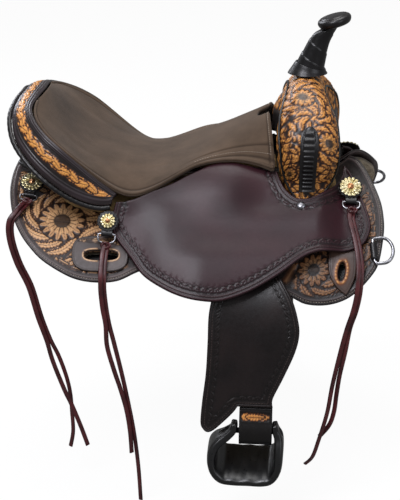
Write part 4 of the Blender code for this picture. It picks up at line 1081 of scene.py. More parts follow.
# The way that both strands of a dee share, then each strand's own loose end.
STRING_WAYS = {
    "rear": (
        [(-270, -159.5, 2), (-277.5, -174.5, -5), (-286, -184, -18), (-286, -186, -46), (-276, -185, -86),
         (-259, -184, -127), (-246, -183, -180)],
        [(-236, -182, -222), (-227, -183, -258), (-210, -184, -307), (-198, -184, -336), (-184, -183, -376),
         (-173, -183, -411)],
        [(-230, -179, -222), (-218, -178, -250), (-207, -177, -286), (-201, -177, -318), (-199, -178, -352),
         (-198, -179, -388), (-203, -180, -416)],
    ),
    "middle": (
        [(-131, -222, -53), (-131.5, -235, -69), (-131, -246, -86), (-130.5, -250, -104), (-128, -251, -132),
         (-124, -251, -160)],
        [(-125, -252, -196), (-115, -253, -236), (-105, -253, -270), (-96, -253, -307), (-91, -253, -345),
         (-89, -253, -383)],
        [(-114, -250, -192), (-103, -249, -245), (-93, -249, -299), (-85, -249, -350), (-79, -249, -411),
         (-76, -249, -472)],
    ),
    "front": (
        [(252, -157, -4), (256, -171, -16), (261, -185, -30), (265, -199, -46), (267.5, -213, -65),
         (267, -226, -86), (265, -232, -107), (260, -234, -132), (252, -234, -160)],
        [(241, -235, -203), (231, -236, -257), (224, -236, -307), (212, -236, -356), (203, -236, -386),
         (191, -236, -400)],
        [(249, -232, -200), (242, -231, -240), (238, -230, -275), (235, -229, -307), (228, -228, -332),
         (213, -228, -353)],
    ),
}
STRAND_TWIST = {"a": math.radians(38), "b": math.radians(-30)}
STRAND_ASIDE = 2.5
STRAND_APART = 2.0
STRING_HALF = 3.7
STRING_THICK = 2.6
STRING_STEP = 3.0
THONG_BELLY = 0.25


def strand_way(name, strand):
    """The knots of a strand's way, and how much each is turned."""
    bar, _, down, out = dee_frame(name)
    shared, own_a, own_b = STRING_WAYS[name]
    sense = 1 if strand == "a" else -1
    start = bar + down * (DEE_DEEP + DEE_WIRE + 1.2)
    knots = np.array([start, *shared], float) - np.array((sense * STRAND_ASIDE, 0, 0))
    knots = np.vstack([knots, np.array(own_a if strand == "a" else own_b, float)])
    last = len(knots) - 1
    placed, faces = [], []
    for i, knot in enumerate(knots):
        along = unit(knots[min(i + 1, last)] - knots[max(i - 1, 0)])
        face = mix(out, np.array((0, -1, 0)), min(i / 5, 1.0))
        across = unit(np.cross(along, face))
        face = np.cross(across, along)
        turn = STRAND_TWIST[strand] * ease(i, 4, last)
        face = face * math.cos(turn) - across * math.sin(turn)
        placed.append(knot + face * sense * STRAND_APART if i <= len(shared) else knot)
        faces.append(face)
    return np.array(placed), np.array(faces)


def strap_mesh(name, line, faces, half, thick):
    """A flat thong swept along a line, its ends cut square and its edges eased."""
    along = unit(np.gradient(line, axis=0))
    across = unit(np.cross(along, faces))
    face = np.cross(across, along)
    section = [(-1, 0), (-0.97, 0.6), (-0.88, 0.9), (-0.5, 1 + THONG_BELLY), (0, 1), (0.5, 1 + THONG_BELLY)]
    section += [(0.88, 0.9), (0.97, 0.6), (1, 0), (0.97, -0.6), (0.88, -0.95), (0, -1)]
    section = np.array(section + [(-0.88, -0.95), (-0.97, -0.6)])
    size, count = len(section), len(section) * len(line)
    beside = line[:, None] + across[:, None] * half * section[:, :1]
    points = beside + face[:, None] * 0.5 * thick * section[:, 1:]
    solid = [*grid_faces(len(line), size, False, True), range(size), range(count - 1, count - 1 - size, -1)]
    rim = np.tile(np.abs(section[:, 0]), len(line))
    values = {"dark": 0.7 * ease(rim, 0.9, 1.0), "worn": 0.35 * (1 - ease(rim, 0.3, 0.7))}
    return outward(mesh_of(name, points.reshape(-1, 3), solid, values))


for spot in SPOTS:
    bar, ahead, down, out = dee_frame(spot)
    for strand in STRAND_TWIST:
        knots, faces = strand_way(spot, strand)
        way = curve_through(np.hstack([knots, faces]), STRING_STEP)
        line = way[:, :3]
        name = f"string_{spot}_{strand}"
        mesh = strap_mesh(name, line, way[:, 3:], STRING_HALF, STRING_THICK)
        thong = piece(name + "_thong", mesh, STRING_LEATHER, "saddle", [name])

# %% [markdown]
# The skirts are the broad bottom sheets. Their margin is plain, with a bead that is lighter, partly rubbed
# and partly a painted highlight, and the field inside it is carved with sunflowers and swirling leaves. They
# are only fine where the panels above leave them in view.

# %% Skirts
SKIRT_EDGE = [
    (-306, 14), (-304, 68), (-298, 114), (-285, 159), (-269, 189), (-251, 211), (-228, 231), (-192, 249),
    (-165, 256), (-135, 256), (-107, 250), (-75, 232), (-40, 222), (0, 220), (60, 228), (110, 246),
    (160, 268), (184, 280), (213, 284), (241, 280), (264, 268), (287, 245), (297, 226), (303, 190),
    (304, 160), (299, 120), (288, 84), (275, 52), (262, 27), (250, 10),
]
SKIRT_TOP = [(250, 10), (205, 17), (150, 20), (0, 17), (-150, 13), (-306, 14)]
SKIRT_LOOP = outline_of([SKIRT_EDGE, SKIRT_TOP])
CINCH_SLOT = oval((-137, 214), 26, 8, math.radians(-5), 3.0)
LATIGO_SLOT = oval((239, 237), 5.5, 14, math.radians(4))
SKIRT_MARGIN = 11.5


def carved_in_view(at):
    rear = (at[:, 0] < -100) & (at[:, 1] > 55)
    return rear | ((at[:, 0] > 168) & (at[:, 1] > 100))


def skirt_garden(at):
    """The flowers and leaves of the skirt's rear and front fields."""
    field = bare_leather(at)
    undergrowth(field, (-300, 60), (-100, 258), 17, 20, 5.6)
    undergrowth(field, (172, 96), (302, 284), 15, 18, 5.0)
    vine(field, [(-292, 66), (-262, 78), (-222, 98), (-170, 112), (-110, 118)], 26, 22, 5.0)
    low_way = [(-288, 96), (-278, 140), (-256, 178), (-226, 210), (-190, 232), (-150, 242), (-112, 236)]
    vine(field, low_way, 24, 21, 5.0)
    wheel(field, (-206, 158), 30, 66, 11, 0.2, 1, 6.4)
    leaf(field, [(-176, 190), (-164, 176), (-150, 166), (-128, 160), (-108, 166)], 7.0)
    leaf(field, [(-172, 150), (-152, 146), (-134, 138), (-112, 140)], 6.5)
    sunflower(field, (-206, 158), 37, 17)
    vine(field, [(282, 104), (288, 140), (289, 176), (284, 214), (268, 246)], 22, 19, 4.6)
    vine(field, [(176, 262), (200, 271), (230, 270), (258, 255)], 22, 17, 4.6)
    wheel(field, (196, 230), 22, 50, 10, 0.5, -1, 5.6)
    sunflower(field, (196, 230), 26, 13)
    wheel(field, (270, 196), 8, 30, 7, 0.4, 1, 5.0)
    return field


def skirt_relief(flat, edge, run):
    zone = ease(edge, SKIRT_MARGIN, SKIRT_MARGIN + 1.4)
    lift, values = carved_values(skirt_garden(flat), zone)
    ahead = ease(flat[:, 0], 60, 160)
    values["relief"] = values["relief"] * (1 - 0.4 * ahead)
    values["dark"] = values["dark"] + 0.3 * ahead
    bead = peak(edge - 6.6, 1.4)
    groove = peak(edge - 4.2, 0.9) + peak(edge - 9.2, 0.7) + peak(edge - SKIRT_MARGIN, 0.9)
    values["dark"] = np.clip(values["dark"] + 0.85 * groove + 0.8 * (1 - ease(edge, 0.5, 3.0)), 0, 0.95)
    values["worn"] = 0.8 * bead
    return lift + 0.5 * bead - 0.6 * groove, values


def laid_at(inner):
    """Gives places on a layer of leather, from the lift of its inner face."""
    return lambda x, s, lift: on_back(x, s, (inner(x, s) if callable(inner) else inner) + lift)


on_skirt = laid_at(SKIRT_INSIDE)


mesh = panel(
    "skirt", SKIRT_LOOP, [CINCH_SLOT, LATIGO_SLOT], on_skirt, SKIRT_THICK, skirt_relief, 13, 9, carved_in_view
)
pair("skirt_carved", mesh, PALE_TOOLED, "saddle", "skirt")


def sewn_line(name, loop, distance, place, high, material, body, part=None):
    """Stitches that follow an outline at a distance inside it, on both sides of the saddle."""
    row = inset(loop, distance)
    row = row[near_line(row, loop)[0] > distance - 0.3]
    if part is not None:
        row = row[part(row)]
    jumps = np.linalg.norm(np.diff(row, axis=0), axis=1)
    runs = np.split(row, np.nonzero(jumps > 12)[0] + 1)
    ways = [place(run[:, 0], run[:, 1], high) for run in runs if len(run) > 3]
    pair(name, stitches(ways, material), material, body)


def below_seat(row):
    return row[:, 1] > 30


sewn_line(
    "skirt_stitches", SKIRT_LOOP, 4.2, on_skirt, SKIRT_THICK - 0.3, THREAD, "saddle",
    below_seat,
)

# %% [markdown]
# Under each skirt is a pad of felted fleece. Its inside is lumpy, and the lumps show at the edge.

# %% Fleece
FLEECE_THICK = 8.0
FLEECE_DROP = 9.0


def wool(x, s):
    return 1.3 * np.sin(x / 2.3 + 1.7 * np.sin(s / 5.1)) * np.sin(s / 2.9 + 1.3 * np.sin(x / 4.3))


def on_fleece(x, s, lift):
    base = -FLEECE_DROP * withers(x, s)
    return on_back(x, s, base + lift + np.where(lift < 0.5 * FLEECE_THICK, wool(x, s), 0.0))


def no_relief(flat, edge, run):
    # Painted shade: the fleece is darker towards its edge, which lies under the skirt's edge.
    return np.zeros(len(flat)), {"dark": 0.5 * peak(edge, 3.0)}


fleece_holes = [inset(CINCH_SLOT, -1.5), inset(LATIGO_SLOT, -1.5)]
mesh = panel("fleece", inset(SKIRT_LOOP, 6.0), fleece_holes, on_fleece, FLEECE_THICK, no_relief, 8, 4.5)
for fleece in pair("fleece", mesh, FLEECE, "saddle", "skirt_fleece"):
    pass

# %% [markdown]
# The rear cinch and the latigo pass through slots, and each slot has its own stiff plate on the skirt.

# %% Slot plates
PLATE_THICK = 3.0
on_plate = laid_at(SKIRT_INSIDE + SKIRT_THICK + STACK_GAP)


def cinch_relief(flat, edge, run):
    field = bare_leather(flat)
    vine(field, [(-178, 190), (-140, 187), (-100, 190)], 9, 8, 2.6)
    zone = ease(edge, 3, 4) * (1 - ease(flat[:, 1], 194, 196))
    lift, values = carved_values(field, zone, 0.8)
    slot_gap = near_line(flat, CINCH_SLOT)[0]
    band = peak(slot_gap - 2.4, 1.3)
    for key in ("tan", "relief"):
        values[key] = np.maximum(values[key], band)
    bead, groove = peak(edge - 1.6, 1.0), peak(edge - 3.8, 0.5)
    values["dark"] = np.clip(values["dark"] + 0.5 * groove, 0, 0.9)
    return lift + 0.5 * band + 0.3 * bead - 0.3 * groove, values


def latigo_relief(flat, edge, run):
    slot_gap, around = near_line(flat, LATIGO_SLOT)
    band, groove = peak(slot_gap - 3.6, 2.4), peak(edge - 3.2, 0.6)
    notch = band * (0.5 + 0.5 * np.cos(around / 4.6 * 2 * math.pi))
    dark = 0.6 * groove + 0.3 * band * (1 - notch)
    values = {"tan": band, "relief": band * (0.4 + 0.6 * notch), "dark": dark}
    return 0.9 * band * (0.5 + 0.5 * notch) - 0.3 * groove, values


cinch_loop = oval((-139, 211), 44, 30, math.radians(-5), 3.2, 130)
mesh = panel("cinch plate", cinch_loop, [CINCH_SLOT], on_plate, PLATE_THICK, cinch_relief, 26, 6)
pair("cinch_slot_plate", mesh, PLATE_LEATHER, "saddle", "cinch_plate")
rear_side = [(219, 190), (218, 222), (221, 242), (232, 260), (247, 273)]
front_side = [(247, 273), (257, 256), (262, 236), (261, 190)]
latigo_loop = outline_of([rear_side, front_side, [(261, 190), (219, 190)]])
mesh = panel("latigo plate", latigo_loop, [LATIGO_SLOT], on_plate, PLATE_THICK, latigo_relief, 18, 5)
pair("latigo_slot_plate", mesh, LATIGO_LEATHER, "saddle", "latigo_plate")

# %% [markdown]
# Behind each slot lies a thin dark sheet of leather, which is painted shade.
# It closes the view through the slot.

# %% Painted shade behind the slots
SLOT_SHADE_THICK = 1.2
FLEECE_LUMPS = 1.6
on_slot_shade = laid_at(lambda x, s: -FLEECE_DROP * withers(x, s) - FLEECE_LUMPS - SLOT_SHADE_THICK)


def slot_shade_relief(flat, edge, run):
    # Painted shade: the sheet is darkened all over.
    return np.zeros(len(flat)), {"dark": 0.4 + 0 * edge}


for name, slot_line in (("cinch_guard", CINCH_SLOT), ("latigo_guard", LATIGO_SLOT)):
    mesh = panel(name, inset(slot_line, -9.0), [], on_slot_shade, SLOT_SHADE_THICK, slot_shade_relief, 2.5, 4)
    pair(name, mesh, BLACK_LEATHER, "saddle")

# %% [markdown]
# The seat jockey is the big smooth sheet under the rider's thigh, waxed to a soft shine.
# Its border is struck round the free edge and the cut-out for the swell, but not under the seat.

# %% Jockeys
JOCKEY_EDGE = [
    (-119, 143), (-123, 158), (-122, 179), (-93, 214), (-69, 243), (-36, 263), (-4, 275), (27, 280),
    (58, 279), (99, 266), (140, 245), (176, 222), (200, 213), (226, 210), (255, 207), (274, 197),
    (283, 172), (276, 140), (267, 114), (259, 92), (250, 70), (239, 50),
]
SWELL_CUT = [
    (239, 50), (236, 76), (227, 98), (214, 116), (198, 127), (182, 131), (163, 128), (145, 113), (133, 90),
]
UNDER_SEAT = [(133, 90), (100, 84), (40, 84), (0, 98), (-30, 112), (-60, 125), (-92, 138), (-119, 143)]
jockey_loop = outline_of([JOCKEY_EDGE, SWELL_CUT, UNDER_SEAT])
free_run = sum(len(curve_through(way, 2.0)) - 1 for way in (JOCKEY_EDGE, SWELL_CUT))
free_line = jockey_loop[: free_run + 1]
on_jockey = laid_at(jockey_lift)


def jockey_relief(flat, edge, run):
    near_free, along = near_line(flat, free_line, closed=False)
    return stamped_border(flat, near_free, along)


mesh = panel("seat jockey", jockey_loop, [], on_jockey, JOCKEY_THICK, jockey_relief, 22, 6)
pair("jockey_waxed", mesh, SMOOTH_LEATHER, "saddle", "seat_jockey")


def at_free_edge(row):
    return near_line(row, free_line, closed=False)[0] < 9.0


sewn_line(
    "jockey_stitches", jockey_loop, 6.4, on_jockey, JOCKEY_THICK, DARK_THREAD, "saddle",
    at_free_edge,
)

rear_edge = [
    (-150, 26), (-220, 24), (-284, 24), (-297, 36), (-296, 50), (-284, 61), (-258, 72), (-222, 86),
    (-185, 100), (-150, 110),
]
rear_loop = outline_of([rear_edge, [(-150, 110), (-140, 84), (-140, 54), (-150, 26)]])
mesh = panel("rear jockey", rear_loop, [], laid_at(rear_jockey_lift), JOCKEY_THICK, plain_border, 10, 6)
pair("rear_jockey_edged", mesh, BLACK_LEATHER, "saddle", "rear_jockey")

# %% [markdown]
# The fender and the stirrup leather swing about the tree, between the skirt and the jockey.
# They lie on a surface turned about the pivot's axis, so they slide in their own surface.

# %% Fender and stirrup leather
FENDER_LEAN = math.radians(10.0)
DOWN = np.array((0, -math.sin(FENDER_LEAN), -math.cos(FENDER_LEAN)))
OUT = np.array((0, -math.cos(FENDER_LEAN), math.sin(FENDER_LEAN)))
dish = through((0, 26, 47, 76, 103, 131, 160, 195, 240), (10, 16, 28, 55, 73, 90, 101, 107, 108))
FENDER_LIFT = 6.4
FENDER_THICK = 4.2
STRAP_LIFT = 0.2
STRAP_THICK = 3.6
STRAP_CENTRE = 11.0
KEEPER_TOP = 307.5
BOLT_DROP = 345.0


def on_fender(u, v, lift):
    u, v = np.asarray(u, float), np.asarray(v, float)
    away = dish(np.hypot(u, v)) + lift
    across = np.stack([u, 0 * u, 0 * u], -1)
    return PIVOT + across + v[..., None] * DOWN + away[..., None] * OUT


rear_edge = [
    (-30, 82), (-44, 102), (-58, 128), (-65, 160), (-66, 205), (-68, 254), (-73, 300), (-75, 333), (-71, 344),
    (-64, 349), (-54, 345), (-37, 329), (-24, 315), (-17.5, 305.5),
]
front_edge = [
    (37, 305.5), (37, 291), (52, 258), (69, 217), (75, 188), (72, 164), (63, 137), (48, 112), (34, 92),
    (20, 78),
]
foot_edge, top_edge = [(-17.5, 305.5), (37, 305.5)], [(20, 78), (-4, 72), (-30, 82)]
fender_loop = outline_of([rear_edge, foot_edge, front_edge, top_edge])


def on_fender_face(u, v, lift):
    return on_fender(u, v, FENDER_LIFT + lift)


mesh = panel("fender", fender_loop, [], on_fender_face, FENDER_THICK, stamped_border, 22, 6)
pair("fender_stamped", mesh, FENDER_LEATHER, "fender_body", "fender")
sewn_line(
    "fender_stitches", fender_loop, 6.4, on_fender_face, FENDER_THICK, DARK_THREAD, "fender_body",
)
end = KEEPER_TOP - 1
sides = [(-28, 10), (-30, 60), (-30, 180), (-14, end)], [(36, end), (30, 180), (26, 60), (24, 10)]
strap_loop = outline_of([sides[0], [(-14, end), (36, end)], sides[1], [(24, 10), (-2, -4), (-28, 10)]])
mesh = panel(
    "stirrup leather", strap_loop, [], lambda u, v, lift: on_fender(u, v, STRAP_LIFT + lift), STRAP_THICK,
    plain_border, 8, 7,
)
pair("stirrup_strap", mesh, BLACK_LEATHER, "fender_body", "stirrup_leather")

# %% [markdown]
# The swell is the wide front of the tree, under a cover of carved leather.
# The carved field is measured along the arch and across it, the same on both sides of the horn.

# %% Swell cover
stops = tuple(range(10))
arch_y = through(stops, (0, 34, 66, 100, 130, 146, 147, 142, 139, 145))
arch_z = through(stops, (190, 188, 179, 159, 131, 104, 80, 58, 38, 16))
gullet_y = through(stops, (0, 20, 38, 52, 62, 67, 70, 78, 104, 130))
gullet_z = through(stops, (96, 94, 87, 76, 62, 50, 40, 33, 27, 12))
fork_front = through(stops, (206, 208, 214, 225, 230, 231, 229, 223, 213, 197))
fork_rear = through(stops, (144, 143, 140, 135, 134, 137, 140, 144, 151, 166))
face_lean = through(stops, (26, 18, 10, 6, 6, 6, 6, 6, 6, 6))
COVER_GROW = -3.2
COVER_THICK = 3.0
COVER_CLEAR = 4.2
ROUND_OFF = 13.0


def bar_top(x, y):
    """The height of the bar's upper face at a place."""
    s = np.linspace(0, 200, 801)
    rise = 3 * ease(x, 180, 215) * np.maximum(0.0, 1 - s / WITHERS_WIDTH)
    lift = SKIRT_INSIDE + SKIRT_THICK + STACK_GAP + rise
    across = on_back(x + 0 * s, s, lift + bar_swell(x, s))
    return np.interp(abs(y), -across[:, 1], across[:, 2])


def cover_section(at):
    side, k = (1 if at >= 0 else -1), min(abs(at), 9.0)
    outer = np.array((0, arch_y(k), arch_z(k)), float)
    inner = np.array((0, gullet_y(k), gullet_z(k)), float)
    outer = outer + unit(outer - inner) * COVER_GROW
    front, rear = fork_front(k) + COVER_GROW, fork_rear(k) - COVER_GROW
    lean = face_lean(k)
    shape = (
        (front - 4, 0.04), (front, 0.35), (front - 2, 0.8), (front - ROUND_OFF - 6, 0.985),
        (0.5 * (front + rear), 1.0), (rear + ROUND_OFF + 4, 0.985), (rear + 0.5, 0.8),
        (rear - lean * 0.85, 0.42), (rear - lean, 0.04),
    )
    places = []
    for x, t in shape:
        x, y, z = np.array((x, 0, 0)) + mix(inner, outer, t)
        places.append((x, side * y, z if z > 60 else max(z, bar_top(x, y) + COVER_CLEAR)))
    return places


cover = denser(denser([cover_section(0.76 * k) for k in range(-12, 13)], 14, 0), 12, 1)
FRONT_EDGE, TOP_LINE, REAR_EDGE = 22, 48, 72
cover_normal = grid_normals(cover)
if cover_normal[:, TOP_LINE, 2].sum() < 0:
    cover_normal = -cover_normal
along_arch = run_along(cover[:, TOP_LINE])
along_arch = np.abs(along_arch - along_arch[len(cover) // 2])
across_step = np.linalg.norm(np.diff(cover, axis=1), axis=2)
across_arch = np.concatenate([np.zeros((len(cover), 1)), np.cumsum(across_step, axis=1)], axis=1)
across_arch = across_arch - across_arch[:, TOP_LINE][:, None]
swell_at = np.stack([np.broadcast_to(along_arch[:, None], across_arch.shape), across_arch], -1).reshape(-1, 2)


def swell_garden(at):
    field = bare_leather(at)
    undergrowth(field, (0, -74), (270, 72), 15, 19, 5.4)
    vine(field, [(36, -34), (70, -40), (110, -44), (150, -50)], 20, 17, 4.6)
    vine(field, [(40, 46), (80, 50), (120, 50), (160, 48)], 20, 17, 4.6)
    for side in (-1, 1):
        way = [(along, across * side) for along, across in ((150, 26), (186, 30), (222, 30), (262, 26))]
        vine(field, way, 17, 17, 5.0, side)
    vine(field, [(196, -46), (232, -48), (262, -44)], 18, 13, 4.0)
    wheel(field, (84, 8), 17, 42, 9, 0.3, 1, 5.6)
    wheel(field, (126, -8), 6, 30, 7, 0.9, -1, 5.2)
    sunflower(field, (84, 8), 20, 13)
    wheel(field, (166, -31), 15, 34, 8, 0.1, -1, 5.2)
    sunflower(field, (166, -31), 18, 12)
    sunflower(field, (218, 31), 12, 10)
    return field


beside_rim = np.minimum(across_arch - across_arch[:, :1], across_arch[:, -1:] - across_arch).ravel()
zone = ease(beside_rim, 5.0, 6.5)
lift, values = carved_values(swell_garden(swell_at), zone, 1.6)
thick = (COVER_THICK + lift.reshape(across_arch.shape) - 0.4)[..., None]
high = (cover + cover_normal * thick).reshape(-1, 3)
low = cover.reshape(-1, 3)
faces = grid_faces(*cover.shape[:2])
mesh = sheet_mesh("swell cover", swell_at, faces, low, high, values, (0, 0, 1))
piece("swell_carved", mesh, TOOLED_LEATHER, "saddle", ["swell_cover"])
surface = cover + cover_normal * COVER_THICK
rims = [surface[8:-8, k] for k in (FRONT_EDGE, REAR_EDGE)]
piece("swell_welts", welt("welt", rims, 2.1), BLACK_LEATHER, "saddle")

# %% [markdown]
# Down each side of the swell lies a ribbed strap, held by one silver screw in the jockey below it.


# %% Swell straps and screws
RUNGS = 13


def swell_strap():
    rings, dark = [], []
    ribs = np.linspace(-1, 1, 41)
    for i in range(181):
        t = i / 180
        at = mix(3.95, 8.3, t)
        outer = np.array((0, arch_y(at), arch_z(at)), float)
        out = unit(outer - np.array((0, gullet_y(at), gullet_z(at)), float))
        half = 14.5 * math.sqrt(max(0.05, 1 - (1 - min(t / 0.16, 1.0)) ** 2)) * (1 - 0.12 * t)
        rung = math.cos(t * RUNGS * 2 * math.pi) * min(1.0, 12 * t)
        rib = rung * ease(0.62 - np.abs(ribs), 0.0, 0.1) - 1.1 * peak(np.abs(ribs) - 0.7, 0.07)
        crown = 4.9 + 1.1 * (1 - ribs**2) + 0.9 * rib
        foot = np.array((mix(184, 181, t), 0, 0)) + outer * (1, -1, 1)
        share = np.concatenate([ribs, ribs[::-8]])[:, None] * (half, 0, 0)
        lift = np.concatenate([crown, np.full(len(ribs[::-8]), 1.6)])
        rings.append(foot + share + lift[:, None] * out * (1, -1, 1))
        dark.append(np.concatenate([np.clip(-0.9 * rib, 0.0, 0.9), np.full(len(ribs[::-8]), 0.6)]))
    return ring_mesh("swell strap", np.array(rings), {"dark": np.array(dark)})


pair("swell_strap_ribbed", swell_strap(), BLACK_LEATHER, "saddle", "swell_strap")


def turned_on(frame_of, profile, edge=np.ones(32)):
    """Rings of (radius, height) about a frame's outward direction. Edge makes a ring's radius uneven."""
    here, ahead, down, out = frame_of
    rings = []
    for radius, high in profile:
        reach = radius * edge[:, None]
        rings.append(ring(here + out * high, reach * ahead, reach * down, len(edge)))
    return np.array(rings)


SCREW_PLACE = (173, 142)
screw_frame = spot_frame(*SCREW_PLACE, spot_lift("front"))
dome = [(7.0, -0.6), (7.0, 0.6), (6.4, 1.6), (4.8, 2.6), (2.6, 3.2), (0.5, 3.4)]
pair("swell_screw", ring_mesh("screw", turned_on(screw_frame, dome)), NICKEL, "saddle")

# %% [markdown]
# The horn is wound with black leather. The wraps overlap, so each turn makes a small step that runs
# round in a spiral.

# %% Horn
HORN_TILT = math.radians(16)
CAP_CENTRE = np.array((217.0, 0.0, 277.0))
NECK_STOPS = (0.0, 0.3, 0.65, 0.85, 1.0)
neck_x = through(NECK_STOPS, (176, 182, 191, 198, 209))
neck_z = through(NECK_STOPS, (190.8, 207, 234, 251, 265.4))
neck_radius = through(NECK_STOPS, (26, 22.5, 17.5, 15, 15.5))
neck_lean = through(NECK_STOPS, (0.0, 0.3, 0.38, 0.2, -0.279))
WRAP_WIDTH = 23.0
NECK_LONG = 78
NECK_SIDES = 72


def horn_ring(t, grow):
    wide, lean = neck_radius(t) + grow, float(neck_lean(t))
    across = np.array((math.cos(lean), 0, -math.sin(lean)))
    # One column, so that each point of the ring may have its own growth.
    wide = np.reshape(wide, (-1, 1))
    return ring(np.array((neck_x(t), 0, neck_z(t))), wide * across, 0.96 * wide * (0, 1, 0), NECK_SIDES)


stops_up = np.linspace(0, 1, 90)
wraps = (stops_up[:, None] * NECK_LONG / WRAP_WIDTH + np.arange(NECK_SIDES) / NECK_SIDES) % 1
step_lift = 1.1 * wraps - 0.5
rings = np.array([horn_ring(t, lift) for t, lift in zip(stops_up, step_lift)])
inner_rings = np.array([horn_ring(t, -3.6) for t in stops_up[::-6]])
crack = 0.7 * np.maximum(peak(wraps, 0.03), peak(wraps - 1, 0.03))
values = {"dark": np.vstack([crack, np.full((len(inner_rings), NECK_SIDES), 0.8)])}
mesh = ring_mesh("horn wrap", np.vstack([rings, inner_rings]), values, closed=True)
piece("horn_wrap", mesh, BLACK_LEATHER, "saddle", ["horn_neck_wrap"])
collar = curve_through([(0.0, 6.4), (0.05, 5.4), (0.13, 3.8), (0.21, 2.8), (0.245, 2.2), (0.245, 1.0)], 0.02)
collar = [*map(tuple, collar), (0.07, 0.9), (0.0, 0.9)]
mesh = ring_mesh("horn collar", np.array([horn_ring(t, grow) for t, grow in collar]), None, closed=True)
piece("horn_collar_band", mesh, BLACK_LEATHER, "saddle", ["horn_collar"])
cap_axis = np.array((-math.sin(HORN_TILT), 0, math.cos(HORN_TILT)))
cap_across = np.array((math.cos(HORN_TILT), 0, math.sin(HORN_TILT)))
under_cap = [(7, -8.2), (16, -8.2), (22, -8.2), (26, -6.8), (28.6, -3.6), (29.6, 0)]
over_cap = [(29.2, 2.4), (27.6, 4.8), (24, 6.6), (23.2, 5.9), (20, 7.8), (14, 9.0), (8, 9.5), (2, 9.7)]
profile = curve_through(under_cap + over_cap, 1.0)


def cap_ring(radius, height):
    return ring(CAP_CENTRE + cap_axis * height, 0.93 * radius * cap_across, (0, 1.06 * radius, 0), 96)


groove = peak(profile[:, 0] - 23.2, 0.7) * (profile[:, 1] > 0)
rings = np.array([cap_ring(*at) for at in profile])
mesh = ring_mesh("horn cap", rings, {"dark": np.repeat(0.8 * groove[:, None], 96, 1)})
piece("horn_cap_covered", mesh, BLACK_LEATHER, "saddle", ["horn_cap"])
seam = cap_ring(23.6, 6.9)
mesh = stitches([np.vstack([seam, seam[:1]])], DARK_THREAD)
piece("horn_cap_stitches", mesh, DARK_THREAD, "saddle")

# %% [markdown]
# The seat is foam under suede. Its form is soft everywhere, so it starts as the same coarse cage as
# the solid, which subdivision rounds. The raised lip, the piping and the sewn border are then pressed in.
# Cloth simulation would puff it up, but a saddle seat is pulled down tight over a hard ground seat.

# %% Seat
SEAT_ROWS = (
    (-254, 155, -258.5, 45, 152.5, 2.0), (-250, 147, -260.5, 87, 145, 2.2), (-240, 131, -251, 127, 134, 2.6),
    (-222, 108, -229, 155, 118, 3.0), (-200, 86, -201, 169, 99, 3.0), (-174, 68, -174, 171.5, 77, 3.0),
    (-122, 50, -122, 165, 32, 2.8), (-92, 46, -92, 160, 21, 2.6), (-55, 49, -55, 148, 34, 2.6),
    (-16, 61, -16, 128, 56, 2.4), (12, 77, 12, 115, 69, 2.2), (69, 110, 69, 108, 73, 2.4),
    (97, 122, 103, 113, 66, 3.0), (108, 128, 119, 117, 61, 3.2), (116, 132, 132.5, 120, 56, 3.4),
)
SEAT_ACROSS = (-1.0, -0.86, -0.66, -0.42, -0.16, 0.16, 0.42, 0.66, 0.86, 1.0)
SEAT_THICK = 11.0
SEAT_LEVELS = 4
HAND_HOLE = ((12, 4), (13, 4))


def seat_point(row, v):
    cx, cz, ex, ey, ez, power = row
    return np.array((mix(cx, ex, v * v), ey * v, mix(cz, ez, abs(v) ** power)))


def seat_inward(i, v):
    if i > 5:
        return np.array((0, 0, -1.0))
    return unit(np.array((-0.45, 0.6 * math.copysign(1, v), -0.65) if abs(v) > 0.6 else (-0.8, 0, -0.6)))


def seat_cage():
    top, low, tags = [], [], []
    for i, row in enumerate(SEAT_ROWS):
        for v in SEAT_ACROSS:
            place = seat_point(row, v)
            crown = 5.0 * (1 - v**4) * math.sin(math.pi * min(i, 11) / 12)
            depth = SEAT_THICK * (0.5 + 0.5 * (1 - abs(v) ** 3)) * (0.45 if i == 0 else 1.0)
            top.append(place + (0, 0, crown))
            low.append(place + seat_inward(i, v) * depth)
            tags.append((i, v))
    wide, count = len(SEAT_ACROSS), len(top)
    faces = np.delete(grid_faces(len(SEAT_ROWS), wide), [i * (wide - 1) + j for i, j in HAND_HOLE], 0)
    walls = [(j, i, count + i, count + j) for i, j in open_edges(faces)]
    solid = [tuple(f) for f in faces] + [tuple(count + f[::-1]) for f in faces] + walls
    tags = np.array(tags)
    values = {
        "row": np.concatenate([tags[:, 0]] * 2),
        "across": np.concatenate([tags[:, 1]] * 2),
        "upper": np.concatenate([np.ones(count), np.zeros(count)]),
    }
    return outward(mesh_of("seat cage", np.array(top + low), solid, values))


def read_values(mesh, name):
    values = np.empty(len(mesh.vertices), np.float32)
    mesh.attributes[name].data.foreach_get("value", values)
    return values.astype(float)


def write_points(mesh, points):
    mesh.vertices.foreach_set("co", (points * MM).astype(np.float32).ravel())
    mesh.update()


def read_points(mesh):
    points = np.empty(len(mesh.vertices) * 3, np.float32)
    mesh.vertices.foreach_get("co", points)
    return points.reshape(-1, 3).astype(float) / MM


seat_mesh = worked(seat_cage(), "SUBSURF", levels=SEAT_LEVELS, render_levels=SEAT_LEVELS)
seat_row, seat_across, seat_upper = (read_values(seat_mesh, key) for key in ("row", "across", "upper"))
normals = np.empty(len(seat_mesh.vertices) * 3, np.float32)
seat_mesh.vertex_normals.foreach_get("vector", normals)
normals = normals.reshape(-1, 3).astype(float)
seat_points = read_points(seat_mesh)
beside = np.abs(seat_across)
top_side = ease(seat_upper, 0.55, 0.95)
front = ease(seat_row, 8.5, 10.5)
lip = 1.5 * peak(beside - 0.975, 0.018) - 1.0 * peak(beside - 0.93, 0.014)
border = front * (0.9 * ease(beside, 0.80, 0.78) - 0.8 * peak(beside - 0.80, 0.012))
front_lip = 1.2 * peak(seat_row - 13.75, 0.12) - 0.9 * peak(seat_row - 13.3, 0.1)
pull = 1.2 * peak(beside - 0.55, 0.06) * ease(seat_row, 2.0, 4.0) * (1 - ease(seat_row, 8.0, 10.0))
height = (lip + border + front_lip - 0.3 * pull) * top_side
seat_points = seat_points + normals * height[:, None]
